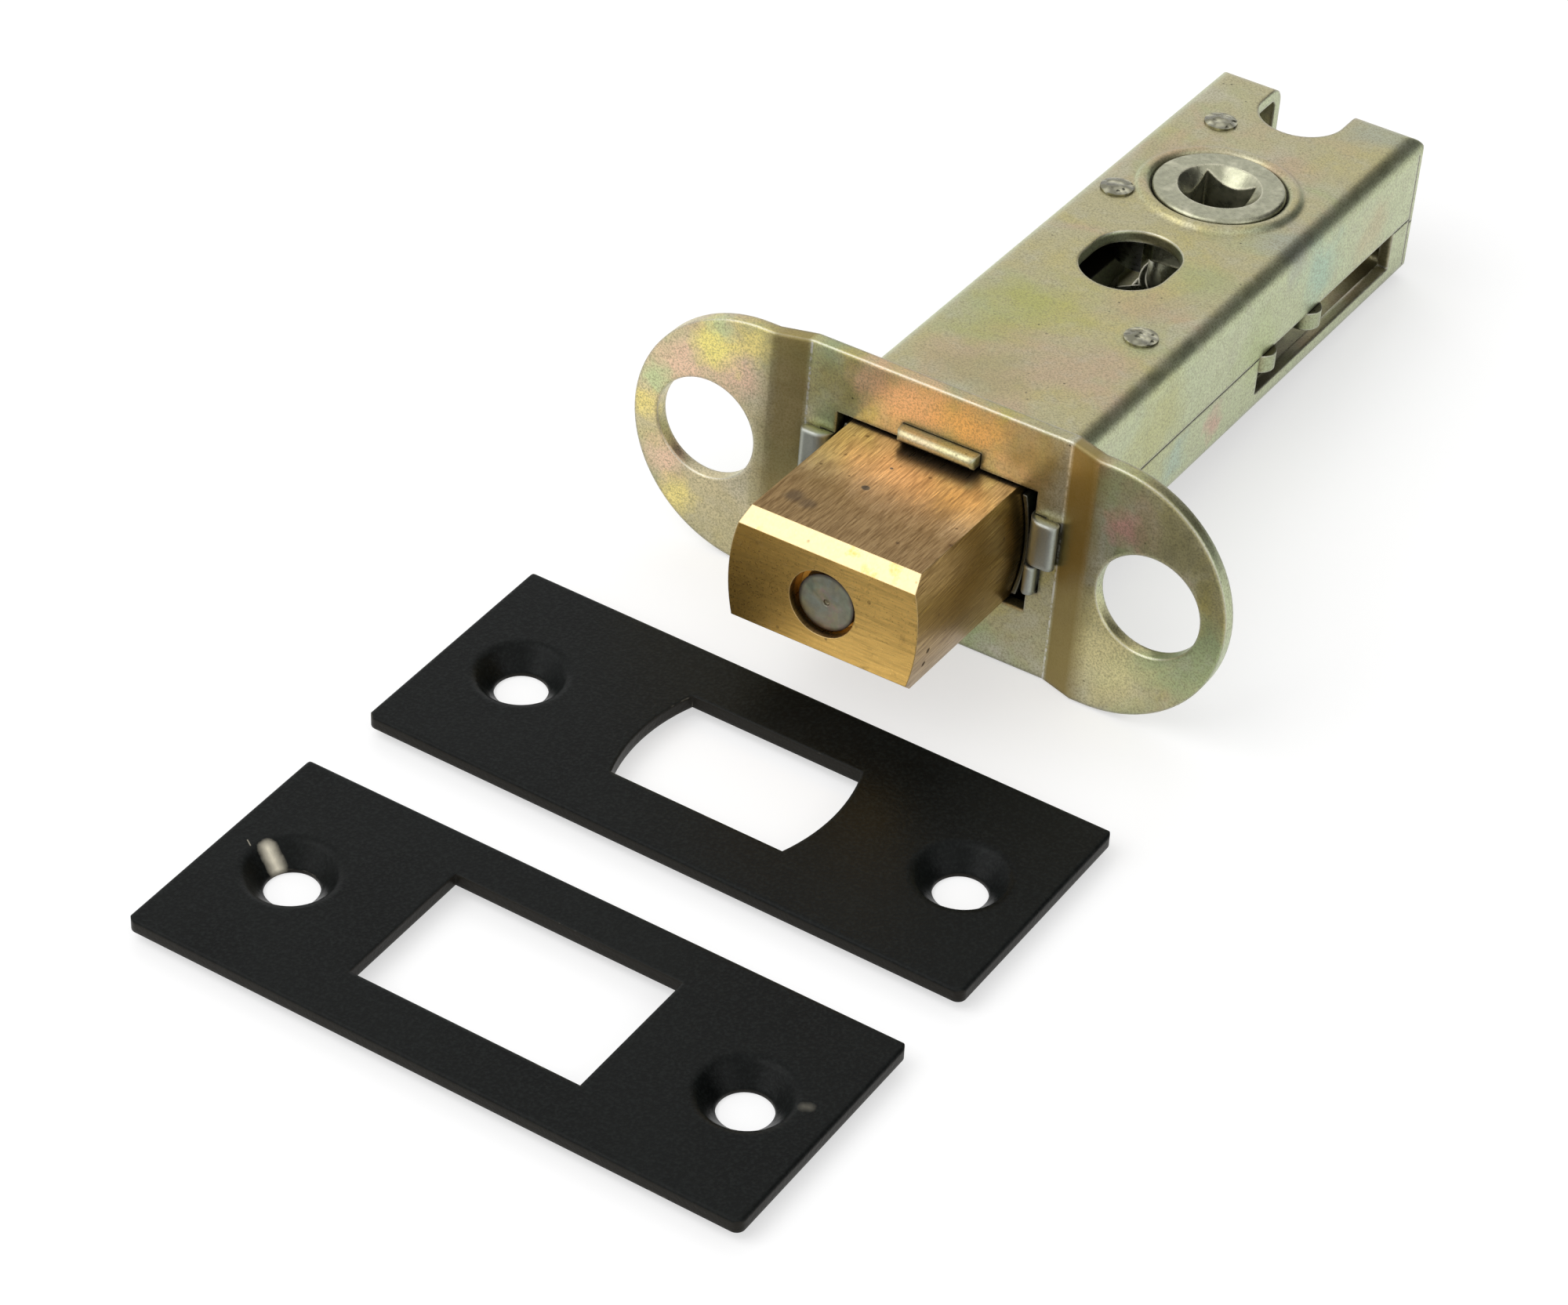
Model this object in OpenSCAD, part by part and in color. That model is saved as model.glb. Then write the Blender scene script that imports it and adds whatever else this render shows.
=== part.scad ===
// Tubular deadbolt lying on its forend and tail, with its face plate and strike plate
// on the table in front of it. The lock's pieces are drawn in the lock's own axes:
// X along the forend, Y back along the case, Z up through the spindle hole, and zero
// at the middle of the front of the forend's recess. laid_down() then rests the lock.

/* [Forend] */
// Length of the forend, end to end
forend_l = 60; // [59:0.1:61]
// Height of the forend, and the diameter of its round ends
forend_h = 25; // [24.6:0.1:25.4]
// Thickness of the forend sheet
forend_t = 1.3; // [1.2:0.05:1.4]
// How far the ears stand in front of the recess
ear_step = 1.1; // [0.8:0.05:1.2]
// How far the flat recess reaches past the case on each side
recess_past = 1.75; // [1.75:0.05:2.2]
// Length of the sloping fold between recess and ear
fold_run = 3.3; // [2.8:0.1:3.8]
// Radius of the forend's fixing holes
ear_hole_r = 5.05; // [4.8:0.05:5.2]
// Distance from each end of forend and plates to its fixing hole
hole_inset = 7.5; // [7.3:0.1:7.8]
// Room beside the bolt in the forend's opening
mouth_room_x = 0.75; // [0.7:0.05:0.8]
// Room above and below the bolt in the forend's opening
mouth_room_z = 0.3; // [0.2:0.05:0.35]
// How far the forend's opening sits to the right of the bolt
mouth_x = 0.2; // [0.1:0.05:0.25]

/* [Case] */
// Outside width of the folded case
case_w = 22.5; // [22.3:0.05:22.8]
// Outside thickness of the case, top to bottom
case_h = 15.6; // [15.5:0.05:15.8]
// Rear face of the case, measured from the forend's recess
case_end = 75.2; // [74.9:0.1:77]
// Sheet thickness of both case shells
case_t = 1.2; // [1.1:0.05:1.25]
// Outside radius of the long folds
fold_r = 2; // [1.6:0.1:2.3]
// Outside radius of the rear folds
rear_fold_r = 2; // [1.6:0.1:2.3]
// Height of the seam between the two shells
seam_z = -1; // [-1.05:0.05:-0.95]
// Gap along the seam
seam_gap = 0.12; // [0.06:0.02:0.16]
// Lower edge of the upper shell's rear flap
flap_z = -1.4; // [-1.8:0.1:-1.2]
// Gap between each side wall and the rear flap behind it
slit_w = 0.22; // [0.1:0.02:0.3]
// Rounding of the rear flaps' side edges
flap_edge_r = 0.8; // [0.5:0.1:1]
// Front end of the side windows
window_y = 42; // [41.4:0.1:42.1]
// Rear end of the side windows
window_end = 70.4; // [70.2:0.1:71]
// Depth of the side windows below the seam
window_drop = 4; // [3.8:0.1:4.2]
// Width of the notch in the tail
notch_w = 8.6; // [8.2:0.1:8.8]
// Depth of the notch from the rear face
notch_depth = 8.5; // [8:0.1:8.8]
// How far the notch sits to the left of the spindle
notch_shift = 0.3; // [0:0.05:0.4]
// Width of the long fixing hole through the case
slot_w = 8.5; // [8.2:0.1:8.8]
// Length of the long fixing hole through the case
slot_l = 11; // [10.6:0.1:11.2]
// Centre of the long fixing hole
slot_y = 36.5; // [36.4:0.05:36.7]
// How far the long fixing hole sits to the left of the spindle
slot_shift = 0.6; // [0:0.05:0.7]
// Distance from the spindle hole's bore to the crest of the collar drawn up round it
crest_out = 0.8; // [0.75:0.05:0.9]
// Distance from the crest to the collar's foot
foot_run = 1.05; // [1:0.05:1.2]
// Height of the collar
collar_up = 0.5; // [0.45:0.05:0.55]
// Rounding of the collar's crest
crest_round_r = 0.8; // [0.75:0.05:0.85]

/* [Tabs] */
// Half length of the bars in front of the bolt, above and below it
bar_half = 3.9; // [3.7:0.05:4.1]
// How far the bars sit to the right of the bolt
bar_x = 0.6; // [0.4:0.05:0.7]
// How far the bars stand in front of the recess
bar_proud = 1.4; // [1.1:0.1:1.6]
// Upper end of the folded side tabs
side_tab_top = 4; // [3.6:0.1:4.4]
// Lower end of the folded side tabs
side_tab_low = -0.5; // [-0.7:0.05:-0.4]
// How far the folded tabs reach past the case
side_tab_past = 1.75; // [1.5:0.05:1.75]
// How far the lower shell's straight tabs stand in front of the recess
low_tab_proud = 0.9; // [0.6:0.1:1.2]

/* [Bolt] */
// Room between the bolt's bulging sides and the case wall
bolt_room = 0.65; // [0.5:0.05:0.75]
// Height of the bolt
bolt_h = 12; // [11.8:0.05:12]
// How far each side of the bolt bulges
bolt_bulge = 1; // [0.9:0.05:1.05]
// Front face of the bolt when thrown, in front of the recess
bolt_reach = 17.85; // [17.7:0.05:18.4]
// Rear end of the bolt when thrown
bolt_tail_y = 8.2; // [7.8:0.1:8.2]
// Travel of the bolt
travel = 15; // [14.8:0.05:15]
// Length of the front chamfers, along the bolt
chamfer_l = 1.45; // [1.2:0.05:1.7]
// Height of the front chamfers
chamfer_h = 1.2; // [1:0.05:1.4]
// Radius of the hardened pin in the bolt
pin_r = 2.75; // [2.6:0.05:2.8]
// Radial room round the hardened pin
pin_gap = 0.05; // [0.03:0.01:0.1]
// How far the hardened pin sits below the bolt's face
pin_sink = 0.75; // [0.6:0.05:1]
// How far the hardened pin sits below the middle of the bolt
pin_low = 0.25; // [0.1:0.05:0.3]
// Radial room round the hardened pin at the mouth of its hole
pin_mouth_room = 0.5; // [0.4:0.05:0.6]
// Depth of the wider mouth
pin_mouth_l = 2; // [1.4:0.1:2.4]
// Length of the hardened pin
pin_l = 14.2; // [12:0.1:14.4]
// Thickness of the guide plate across the case
guide_t = 1; // [0.8:0.1:1.2]
// Front of the guide plate, behind the recess
guide_y = 5; // [4.5:0.1:5.4]
// Running clearance of the bolt in its guide
guide_gap = 0.1; // [0.06:0.01:0.14]
// Thickness of the guide's two lips beside the bolt
lip_t = 0.35; // [0.3:0.01:0.38]

/* [Slider] */
// Thickness of the slider's sheet
slider_t = 2.6; // [2.4:0.05:2.7]
// Underside of the slider's sheet
slider_z = -0.8; // [-0.82:0.01:-0.75]
// Room between the slider and the case wall
slider_room = 0.3; // [0.2:0.05:0.4]
// Half width of the slider's long slot
gap_half = 3; // [2.9:0.05:3.1]
// How far the lugs stand out of the right window
lug_proud = 0.65; // [0.4:0.05:0.9]
// Width of each lug and tine along the slider
lug_w = 3.2; // [3:0.05:3.25]
// Centre of the front lug
lug_y = 43.9; // [43.85:0.05:44.2]
// Distance between the two lugs
lug_pitch = 9.4; // [9.2:0.1:9.6]

/* [Follower] */
// Centre of the spindle hole, from the recess
hub_y = 52.9; // [52.8:0.05:53]
// Room between the follower's turned ends and the case's side walls
hub_room = 3.65; // [3.55:0.05:3.75]
// Running clearance of the follower in the case
journal_gap = 0.07; // [0.04:0.01:0.1]
// Across the flats of the spindle hole
spindle_af = 5.3; // [5:0.05:5.5]
// Radius of the countersink at each mouth of the spindle hole
spindle_sink_r = 4.05; // [3.9:0.05:4.3]
// How far the follower stands out of each side of the case
hub_proud = 0.5; // [0.4:0.05:0.6]
// Rounding of the follower's end rims
rim_round_r = 0.45; // [0.3:0.05:0.5]
// Radius of the drive lever, spindle to nose
lever_r = 10.3; // [10.25:0.05:10.35]
// Radius of the lever's round nose
nose_r = 1.6; // [1.55:0.05:1.65]
// Room on each side of the nose between its two tines
nose_gap = 0.45; // [0.42:0.01:0.47]

/* [Pins and spring] */
// Radius of the front pillar
pillar_r = 1.5; // [1.4:0.05:1.55]
// Radius of the two spring pins
peg_r = 1.3; // [1.2:0.05:1.35]
// Radius of the riveted heads on the case
head_r = 1.6; // [1.5:0.05:1.7]
// Height of the riveted heads' rims
head_rim = 0.2; // [0.1:0.05:0.25]
// Height of the dome on the riveted heads
head_dome = 0.22; // [0.15:0.01:0.25]
// Front pillar, in from the right wall of the case
front_pin_in = 3.45; // [3.4:0.05:3.5]
// Front pillar, behind the recess
front_pin_y = 25.2; // [25:0.1:25.4]
// Side pin, in from the left wall of the case
side_pin_in = 2.15; // [2.1:0.05:2.2]
// Side pin, in front of the spindle
side_pin_ahead = 5.7; // [5.6:0.05:5.8]
// Rear pillar, in from the left wall of the case
rear_pin_in = 4.15; // [4.1:0.05:4.2]
// Rear pillar, behind the spindle
rear_pin_back = 11.6; // [11.5:0.05:11.7]
// Thickness of the leaf spring
leaf_t = 0.45; // [0.4:0.05:0.5]
// Width of the leaf spring
leaf_w = 3.2; // [3:0.1:3.3]

/* [Plates] */
// Width of the face plate and the strike plate
plate_w = 24.4; // [24:0.1:25]
// Thickness of the plates
plate_t = 1.27; // [1.2:0.01:1.5]
// Corner radius of the plates
plate_corner_r = 0.8; // [0.6:0.1:1.5]
// Rounding of the plates' upper edges
plate_edge_r = 0.3; // [0.2:0.05:0.5]
// Radius of the screw holes in the plates
screw_r = 2.4; // [2.2:0.05:2.6]
// Radius of the pressed countersinks at the top, before their lip is rounded
sink_r = 4.2; // [4:0.05:4.4]
// Rounding of the countersinks' lip
sink_lip_r = 1; // [0.6:0.1:1.2]
// Thickness of the pressed wall, measured level
sink_wall = 1.3; // [1.1:0.05:1.4]
// Height of the straight hole under each countersink
sink_land = 0.35; // [0.2:0.05:0.4]
// How far the pressed countersinks reach below the sheet
sink_drop = 1; // [0.9:0.05:1.1]
// Room at each end of the bolt in the face plate's opening
face_room_x = 0.3; // [0.2:0.05:0.6]
// Room on each long side of the bolt in the face plate's opening
face_room_y = 0.2; // [0.1:0.05:0.5]
// Room at each end of the bolt in the strike plate's opening
strike_room_x = 1.95; // [1.6:0.05:2.5]
// Room on each long side of the bolt in the strike plate's opening
strike_room_y = 1.25; // [0.8:0.05:1.5]
// Shift of the strike plate's opening towards the lock
strike_open_y = 0.4; // [0:0.1:0.6]

/* [Layout] */
// Face plate centre, to the side of the lock
face_x = -1.1; // [-2:0.05:0]
// Face plate centre, in front of the forend
face_y = -28.9; // [-31:0.05:-28.7]
// Turn of the face plate on the table, degrees
face_turn = -1.25; // [-2:0.05:0]
// Strike plate centre, to the side of the lock
strike_x = -2.15; // [-3:0.05:0]
// Strike plate centre, in front of the forend
strike_y = -60.8; // [-66:0.05:-60.5]
// Turn of the strike plate on the table, degrees
strike_turn = -1.1; // [-2:0.05:0]

/* [Hidden] */
$fn = 96;

case_half = case_w / 2;
in_half = case_half - case_t;
top_z = case_h / 2;
in_z = top_z - case_t;
journal_r = in_half - hub_room;
bore_r = journal_r + journal_gap;
crest_r = bore_r + crest_out;
foot_r = crest_r + foot_run;
cam_r = journal_r + 1;
waist_r = journal_r - 0.7;
lever_hub_r = journal_r - 0.2;
flange_r = journal_r + 0.8;
past = 0.5;

// The bolt fills the case but for the room beside it
bolt_w = 2 * (in_half - bolt_bulge - bolt_room);

// Forend slots and the opening for the bolt
recess_half = case_half + recess_past;
fixing_pitch = forend_l - 2 * hole_inset;
tab_play = 0.08;
tab_bend_r = 0.2;
low_tab_z = -3.9;

// The plates are as long as the forend, and their openings fit round the bolt
plate_l = forend_l;
face_open_w = bolt_w + 2 * face_room_x;
face_open_h = bolt_h + 2 * face_room_y;
face_open_bulge = bolt_bulge + 0.1;
strike_open_w = bolt_w + 2 * (bolt_bulge + strike_room_x);
strike_open_h = bolt_h + 2 * strike_room_y;

// The guide's lips run forward into the forend's opening
lip_y = 0.3;
lip_half = 5.2;

// The bolt's tail pocket and rivets
tongue_y = -1;
tongue_half = bolt_w / 2 - 1;
tongue_play = 0.05;
rivet_x = 3.2;
rivet_y = 4.2;
rivet_r = 1.4;

// Slider outline, measured with the bolt thrown
web_y = 13.5;
slider_top = slider_z + slider_t;
slider_half = in_half - slider_room;
head_gap_half = waist_r + 0.4;
rear_gap_y = hub_y - travel;
narrow_arm_x = in_half - front_pin_in - pillar_r - 0.4;
narrow_from = bolt_tail_y + 0.4;
narrow_to = 27.4;
right_arm_end = 56.6;
tine_x = flange_r + 0.6;
tine_low = -4.6;
lug_low = -2.9;
lug_top = -1.1;
lug_root_x = slider_half - 2.2;
lug_reach = case_half + lug_proud;
slim_arm_x = flange_r + 0.4;
drive_y = hub_y - travel / 2;
tine_gap = nose_r + nose_gap;
tine_len = 2.6;
slim_arm_y = drive_y + tine_gap;

// Follower, level by level
lever_turn = asin(travel / 2 / lever_r);
cam_low = 2.2;
cam_top = in_z - 0.3;
lever_low = -4.5;
lever_top = -2.7;
shank_half = 1.1;
flange_low = -(in_z - 0.3);
flange_top = -4.75;

// Pins on the case, each set in from its inner wall
front_pin = [in_half - front_pin_in, front_pin_y];
side_pin_at = [side_pin_in - in_half, hub_y - side_pin_ahead];
rear_pin = [rear_pin_in - in_half, hub_y + rear_pin_back];
head_seat_r = head_r + 0.1;
spigot_r = 1.05;
side_pin_low = 2.2;

// The leaf spring runs across between its two pins and bears on the cam's flat
wrap_r = peg_r + leaf_t / 2 + 0.03;
pin_run = norm(rear_pin - side_pin_at);
pin_dir = atan2(rear_pin[1] - side_pin_at[1], rear_pin[0] - side_pin_at[0]);
leaf_dir = pin_dir + asin(2 * wrap_r / pin_run);
leaf_mid = (rear_pin + side_pin_at) / 2;
leaf_run = sqrt(pin_run * pin_run - 4 * wrap_r * wrap_r);
leaf_from_hub = abs((leaf_mid[0]) * sin(leaf_dir) - (leaf_mid[1] - hub_y) * cos(leaf_dir));
flat_dist = leaf_from_hub - leaf_t / 2 - 0.04;
leaf_low = 2.6;
leaf_lead = 1.4;
leaf_curl_r = 3;
leaf_hook = 140;
leaf_curl = 100;

// How the lock rests: the forend's lower rear edge and the rear fold touch the table
rest_run = case_end - rear_fold_r - forend_t;
rest_rise = forend_h / 2 - (top_z - rear_fold_r);
tilt = atan2(rest_rise, rest_run)
       - asin(rear_fold_r / sqrt(rest_run * rest_run + rest_rise * rest_rise));
axis_z = forend_h / 2 * cos(tilt) + forend_t * sin(tilt);

// Middle of everything in plan, which is put at X = 0, Y = 0
function reach_x(turn) = (plate_l / 2 - plate_corner_r) * cos(turn)
    + (plate_w / 2 - plate_corner_r) * abs(sin(turn)) + plate_corner_r;
function reach_y(turn) = (plate_w / 2 - plate_corner_r) * cos(turn)
    + (plate_l / 2 - plate_corner_r) * abs(sin(turn)) + plate_corner_r;
far_left = min(-forend_l / 2, face_x - reach_x(face_turn), strike_x - reach_x(strike_turn));
far_right = max(forend_l / 2, face_x + reach_x(face_turn), strike_x + reach_x(strike_turn));
far_front = strike_y - reach_y(strike_turn);
far_back = (case_end - rear_fold_r) * cos(tilt) + (top_z - rear_fold_r) * sin(tilt)
           + rear_fold_r;
lay_x = -(far_left + far_right) / 2;
lay_y = -(far_front + far_back) / 2;

steel = [0.73, 0.70, 0.58];
brass = [0.78, 0.60, 0.30];
bright = [0.72, 0.72, 0.70];
black = [0.06, 0.06, 0.065];

module laid_down() {
    translate([lay_x, lay_y, axis_z]) rotate([-tilt, 0, 0]) children();
}

// Extrusions along Y and along X of an outline drawn in the other two axes
module along_y(from, to) {
    translate([0, to, 0]) rotate([90, 0, 0]) linear_extrude(to - from) children();
}
module along_x(from, to) {
    translate([from, 0, 0]) rotate([90, 0, 90]) linear_extrude(to - from) children();
}
module along_z(from, to) {
    translate([0, 0, from]) linear_extrude(to - from) children();
}

// Rectangle between two corners
module rect(x0, y0, x1, y1) {
    translate([x0, y0]) square([x1 - x0, y1 - y0]);
}

// Rectangle about the origin with all four corners round
module round_rect(w, h, r) {
    square([w - 2 * r, h], center = true);
    square([w, h - 2 * r], center = true);
    for (sx = [-1, 1], sy = [-1, 1]) translate([sx * (w / 2 - r), sy * (h / 2 - r)]) circle(r);
}

// Rectangle whose short ends bulge in an arc
module bulged(w, h, bulge) {
    r = (h * h / 4 + bulge * bulge) / (2 * bulge);
    intersection() {
        square([w + 2 * bulge, h], center = true);
        translate([w / 2 + bulge - r, 0]) circle(r);
        translate([r - w / 2 - bulge, 0]) circle(r);
    }
}

// Channel section: flat top with round folds, legs down to low
module channel(half, top, r, low) {
    rect(-half, low, half, top - r);
    rect(-half + r, top - r, half - r, top);
    for (s = [-1, 1]) translate([s * (half - r), top - r]) circle(r);
}

// The same seen from the side, with one round fold at the rear
module tail(front, back, top, r, low) {
    rect(front, low, back, top - r);
    rect(front, top - r, back - r, top);
    translate([back - r, top - r]) circle(r);
}

module slot2d() {
    straight = slot_l - slot_w;
    translate([-slot_shift, slot_y]) {
        square([slot_w, straight], center = true);
        for (s = [-1, 1]) translate([0, s * straight / 2]) circle(slot_w / 2);
    }
}

module notch2d() {
    bottom = case_end - notch_depth + notch_w / 2;
    translate([-notch_shift, 0]) {
        translate([0, bottom]) circle(notch_w / 2);
        rect(-notch_w / 2, bottom, notch_w / 2, case_end + past);
    }
}

// The case seen from above: square at the front, its rear corners a little round
module plan() {
    r = flap_edge_r;
    rect(-case_half, forend_t, case_half, case_end - r);
    rect(r - case_half, forend_t, case_half - r, case_end);
    for (s = [-1, 1]) translate([s * (case_half - r), case_end - r]) circle(r);
}

// Collar drawn up round the spindle hole: a round crest that runs out into a hollow foot
module collar() {
    run = foot_run;
    foot_round_r = (run * run / collar_up + collar_up) / 2 - crest_round_r;
    share = crest_round_r / (crest_round_r + foot_round_r);
    crest_z = top_z + collar_up - crest_round_r;
    meet = [crest_r + share * run, crest_z + share * (top_z + foot_round_r - crest_z)];
    translate([0, hub_y, 0]) rotate_extrude() {
        intersection() {
            translate([crest_r, crest_z]) circle(crest_round_r);
            rect(bore_r, in_z, foot_r, top_z + collar_up);
        }
        difference() {
            polygon([[bore_r, in_z], [foot_r, in_z], [foot_r, top_z], meet,
                     [crest_r, crest_z], [bore_r, crest_z]]);
            translate([foot_r, top_z + foot_round_r]) circle(foot_round_r);
        }
    }
}

// Round cuts of one radius at each of the pins
module at_pins(pins, r) {
    for (p = pins) translate([p[0], p[1], in_z - past]) cylinder(r = r, h = case_t + 2 * past);
}

// One half of the case, open downwards, with its legs ending at low
module shell(low, flap_low, pins) {
    difference() {
        union() {
            difference() {
                intersection() {
                    along_y(forend_t, case_end) channel(case_half, top_z, fold_r, low);
                    along_x(-case_half, case_half)
                        tail(forend_t, case_end, top_z, rear_fold_r, low);
                    along_z(low, top_z) plan();
                }
                at_pins(pins, spigot_r);
            }
            if (flap_low < low) along_z(flap_low, low + past) intersection() {
                plan();
                rect(-case_half, case_end - case_t, case_half, case_end);
            }
            difference() {
                collar();
                at_pins(pins, head_seat_r);
            }
        }
        intersection() {
            along_y(forend_t - past, case_end - case_t)
                channel(in_half, in_z, fold_r - case_t, low - past);
            along_x(-in_half, in_half)
                tail(forend_t - past, case_end - case_t, in_z, rear_fold_r - case_t, low - past);
        }
        if (flap_low > low)
            translate([-case_half, case_end - case_t - 0.02, low - past])
                cube([case_w, case_t + past, flap_low - low + past]);
        for (s = [-1, 1]) translate([s * case_half, case_end - case_t - slit_w / 2, 0])
            cube([2 * case_t + past, slit_w, 2 * (top_z - rear_fold_r + 0.4)], center = true);
        along_z(-top_z, top_z + past) notch2d();
        along_z(0, top_z + past) slot2d();
        translate([0, hub_y, 0]) cylinder(r = bore_r, h = top_z + 1);
        translate([0, hub_y, 0]) rotate_extrude() polygon([
            [0, in_z - past], [crest_r + 0.3, in_z - past], [crest_r + 0.3, in_z],
            [crest_r - 0.2, in_z + collar_up], [0, in_z + collar_up]]);
    }
}

// Bar of the shell's top sheet, passed through the forend above the bolt
module front_bar() {
    mid = (top_z + in_z) / 2;
    translate([bar_x, 0, 0]) intersection() {
        along_z(in_z, top_z) {
            rect(-bar_half, 0, bar_half, forend_t + 0.4);
            translate([0, -bar_proud / 2 + 0.4])
                round_rect(2 * bar_half, bar_proud + 0.8, 0.6);
        }
        along_x(-bar_half, bar_half) {
            rect(-bar_proud + case_t / 2, in_z, forend_t + 0.4, top_z);
            translate([-bar_proud + case_t / 2, mid]) circle(case_t / 2);
        }
    }
}

// Side tab of the upper shell, passed through the forend and folded outwards on it
module folded_tab() {
    bend_x = case_half + tab_bend_r;
    tip_x = case_half + side_tab_past - case_t / 2;
    along_z(side_tab_low, side_tab_top) {
        rect(in_half, tab_bend_r, case_half, forend_t + 0.4);
        intersection() {
            difference() {
                translate([bend_x, tab_bend_r]) circle(tab_bend_r + case_t);
                translate([bend_x, tab_bend_r]) circle(tab_bend_r);
            }
            rect(in_half, tab_bend_r - case_t - 2 * tab_bend_r, bend_x, tab_bend_r);
        }
        rect(bend_x, -case_t, tip_x, 0);
        translate([tip_x, -case_t / 2]) circle(case_t / 2);
    }
}

module upper_case() {
    color(steel) laid_down() {
        shell(seam_z + seam_gap / 2, flap_z + seam_gap / 2, [front_pin, side_pin_at, rear_pin]);
        front_bar();
        folded_tab();
        mirror([1, 0, 0]) folded_tab();
    }
}

module lower_case() {
    color(steel) laid_down() mirror([0, 0, 1]) difference() {
        union() {
            shell(-seam_z + seam_gap / 2, -flap_z + seam_gap / 2, [front_pin, rear_pin]);
            front_bar();
            for (s = [-1, 1]) translate([s * (in_half + case_half) / 2, 0, 0])
                along_z(-seam_z + seam_gap / 2, -low_tab_z) {
                    rect(-case_t / 2, case_t / 2 - low_tab_proud, case_t / 2, forend_t + 0.4);
                    translate([0, case_t / 2 - low_tab_proud]) circle(case_t / 2);
                }
        }
        for (s = [-1, 1])
            translate([s * case_half, (window_y + window_end) / 2, -seam_z + window_drop / 2])
                cube([4 * case_t, window_end - window_y, window_drop], center = true);
    }
}

// Forend seen from above: recess, sloping folds and ears
module forend_strip() {
    ear_x = recess_half + fold_run;
    rect(-recess_half, 0, recess_half, forend_t);
    for (s = [0, 1]) mirror([s, 0]) {
        polygon([[recess_half, 0], [ear_x, -ear_step], [ear_x, forend_t - ear_step],
                 [recess_half, forend_t]]);
        rect(ear_x, -ear_step, forend_l / 2, forend_t - ear_step);
    }
}

module forend_outline() {
    r = forend_h / 2;
    square([forend_l - 2 * r, forend_h], center = true);
    for (s = [-1, 1]) translate([s * (forend_l / 2 - r), 0]) circle(r);
}

module forend() {
    side_slot = case_half + tab_bend_r + 0.02;
    color(steel) laid_down() difference() {
        intersection() {
            along_z(-forend_h / 2, forend_h / 2) forend_strip();
            along_y(-ear_step - past, forend_t + past) forend_outline();
        }
        along_y(-ear_step - past, forend_t + past) {
            translate([mouth_x, 0])
                square([bolt_w + 2 * (bolt_bulge + mouth_room_x), bolt_h + 2 * mouth_room_z],
                       center = true);
            translate([bar_x, 0])
                square([2 * (bar_half + tab_play), 2 * (top_z + tab_play)], center = true);
            rect(-side_slot, low_tab_z - tab_play, side_slot, side_tab_top + tab_play);
            for (s = [-1, 1]) translate([s * fixing_pitch / 2, 0]) circle(ear_hole_r);
        }
    }
}

module bolt() {
    tail_gap = slider_t + 2 * tongue_play;
    color(brass) laid_down() difference() {
        intersection() {
            along_y(-bolt_reach, bolt_tail_y) bulged(bolt_w, bolt_h, bolt_bulge);
            along_x(-bolt_w, bolt_w) polygon([
                [-bolt_reach, -bolt_h / 2 + chamfer_h], [-bolt_reach, bolt_h / 2 - chamfer_h],
                [-bolt_reach + chamfer_l, bolt_h / 2], [bolt_tail_y, bolt_h / 2],
                [bolt_tail_y, -bolt_h / 2], [-bolt_reach + chamfer_l, -bolt_h / 2]]);
        }
        translate([0, -bolt_reach, -pin_low]) rotate([-90, 0, 0])
            cylinder(r = pin_r + pin_gap, h = pin_sink + pin_l + 0.2);
        translate([0, -bolt_reach - past, 0]) rotate([-90, 0, 0])
            cylinder(r = pin_r + pin_mouth_room, h = past + pin_mouth_l);
        translate([-tongue_half - 0.1, tongue_y - 0.1, slider_z - tongue_play])
            cube([2 * tongue_half + 0.2, bolt_tail_y - tongue_y + past, tail_gap]);
        for (s = [-1, 1]) translate([s * rivet_x, rivet_y, -bolt_h])
            cylinder(r = rivet_r, h = 2 * bolt_h);
    }
}

// The bolt's outline with some room all round
module round_bolt(room) {
    bulged(bolt_w + 2 * room, bolt_h + 2 * room, bolt_bulge);
}

// Plate across the case's mouth, with a lip beside each bulging side of the bolt
module bolt_guide() {
    color(steel) laid_down() difference() {
        union() {
            along_y(guide_y, guide_y + guide_t) round_rect(2 * in_half, 2 * in_z, 1);
            along_y(lip_y, guide_y + past) intersection() {
                round_bolt(guide_gap + lip_t);
                square([4 * in_half, 2 * lip_half], center = true);
            }
        }
        along_y(lip_y - past, guide_y + 2 * guide_t) round_bolt(guide_gap);
    }
}

module anti_saw_pin() {
    color(bright) laid_down() translate([0, -bolt_reach + pin_sink, -pin_low]) rotate([-90, 0, 0])
        difference() {
            cylinder(r = pin_r, h = pin_l);
            translate([0, 0, -past]) cylinder(r = 0.3, h = past + 0.3);
        }
}

module tail_rivet(side) {
    color(steel) laid_down() translate([side * rivet_x, rivet_y, -bolt_h / 2])
        cylinder(r = rivet_r, h = bolt_h);
}

// Slider sheet with the bolt thrown: tongue, web and two arms round the long slot
module slider_outline() {
    difference() {
        union() {
            rect(-tongue_half, tongue_y, tongue_half, bolt_tail_y);
            rect(-slider_half, narrow_from, narrow_arm_x, slim_arm_y);
            rect(-tongue_half, bolt_tail_y, narrow_arm_x, narrow_from);
            rect(-slider_half, slim_arm_y, -slim_arm_x, slim_arm_y + tine_len);
            rect(narrow_arm_x - past, narrow_to, slider_half, right_arm_end);
        }
        rect(-gap_half, web_y + gap_half, gap_half, right_arm_end + past);
        translate([0, web_y + gap_half]) circle(gap_half);
        translate([0, rear_gap_y]) circle(head_gap_half);
        rect(-head_gap_half, rear_gap_y, head_gap_half, right_arm_end + past);
    }
}

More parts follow.
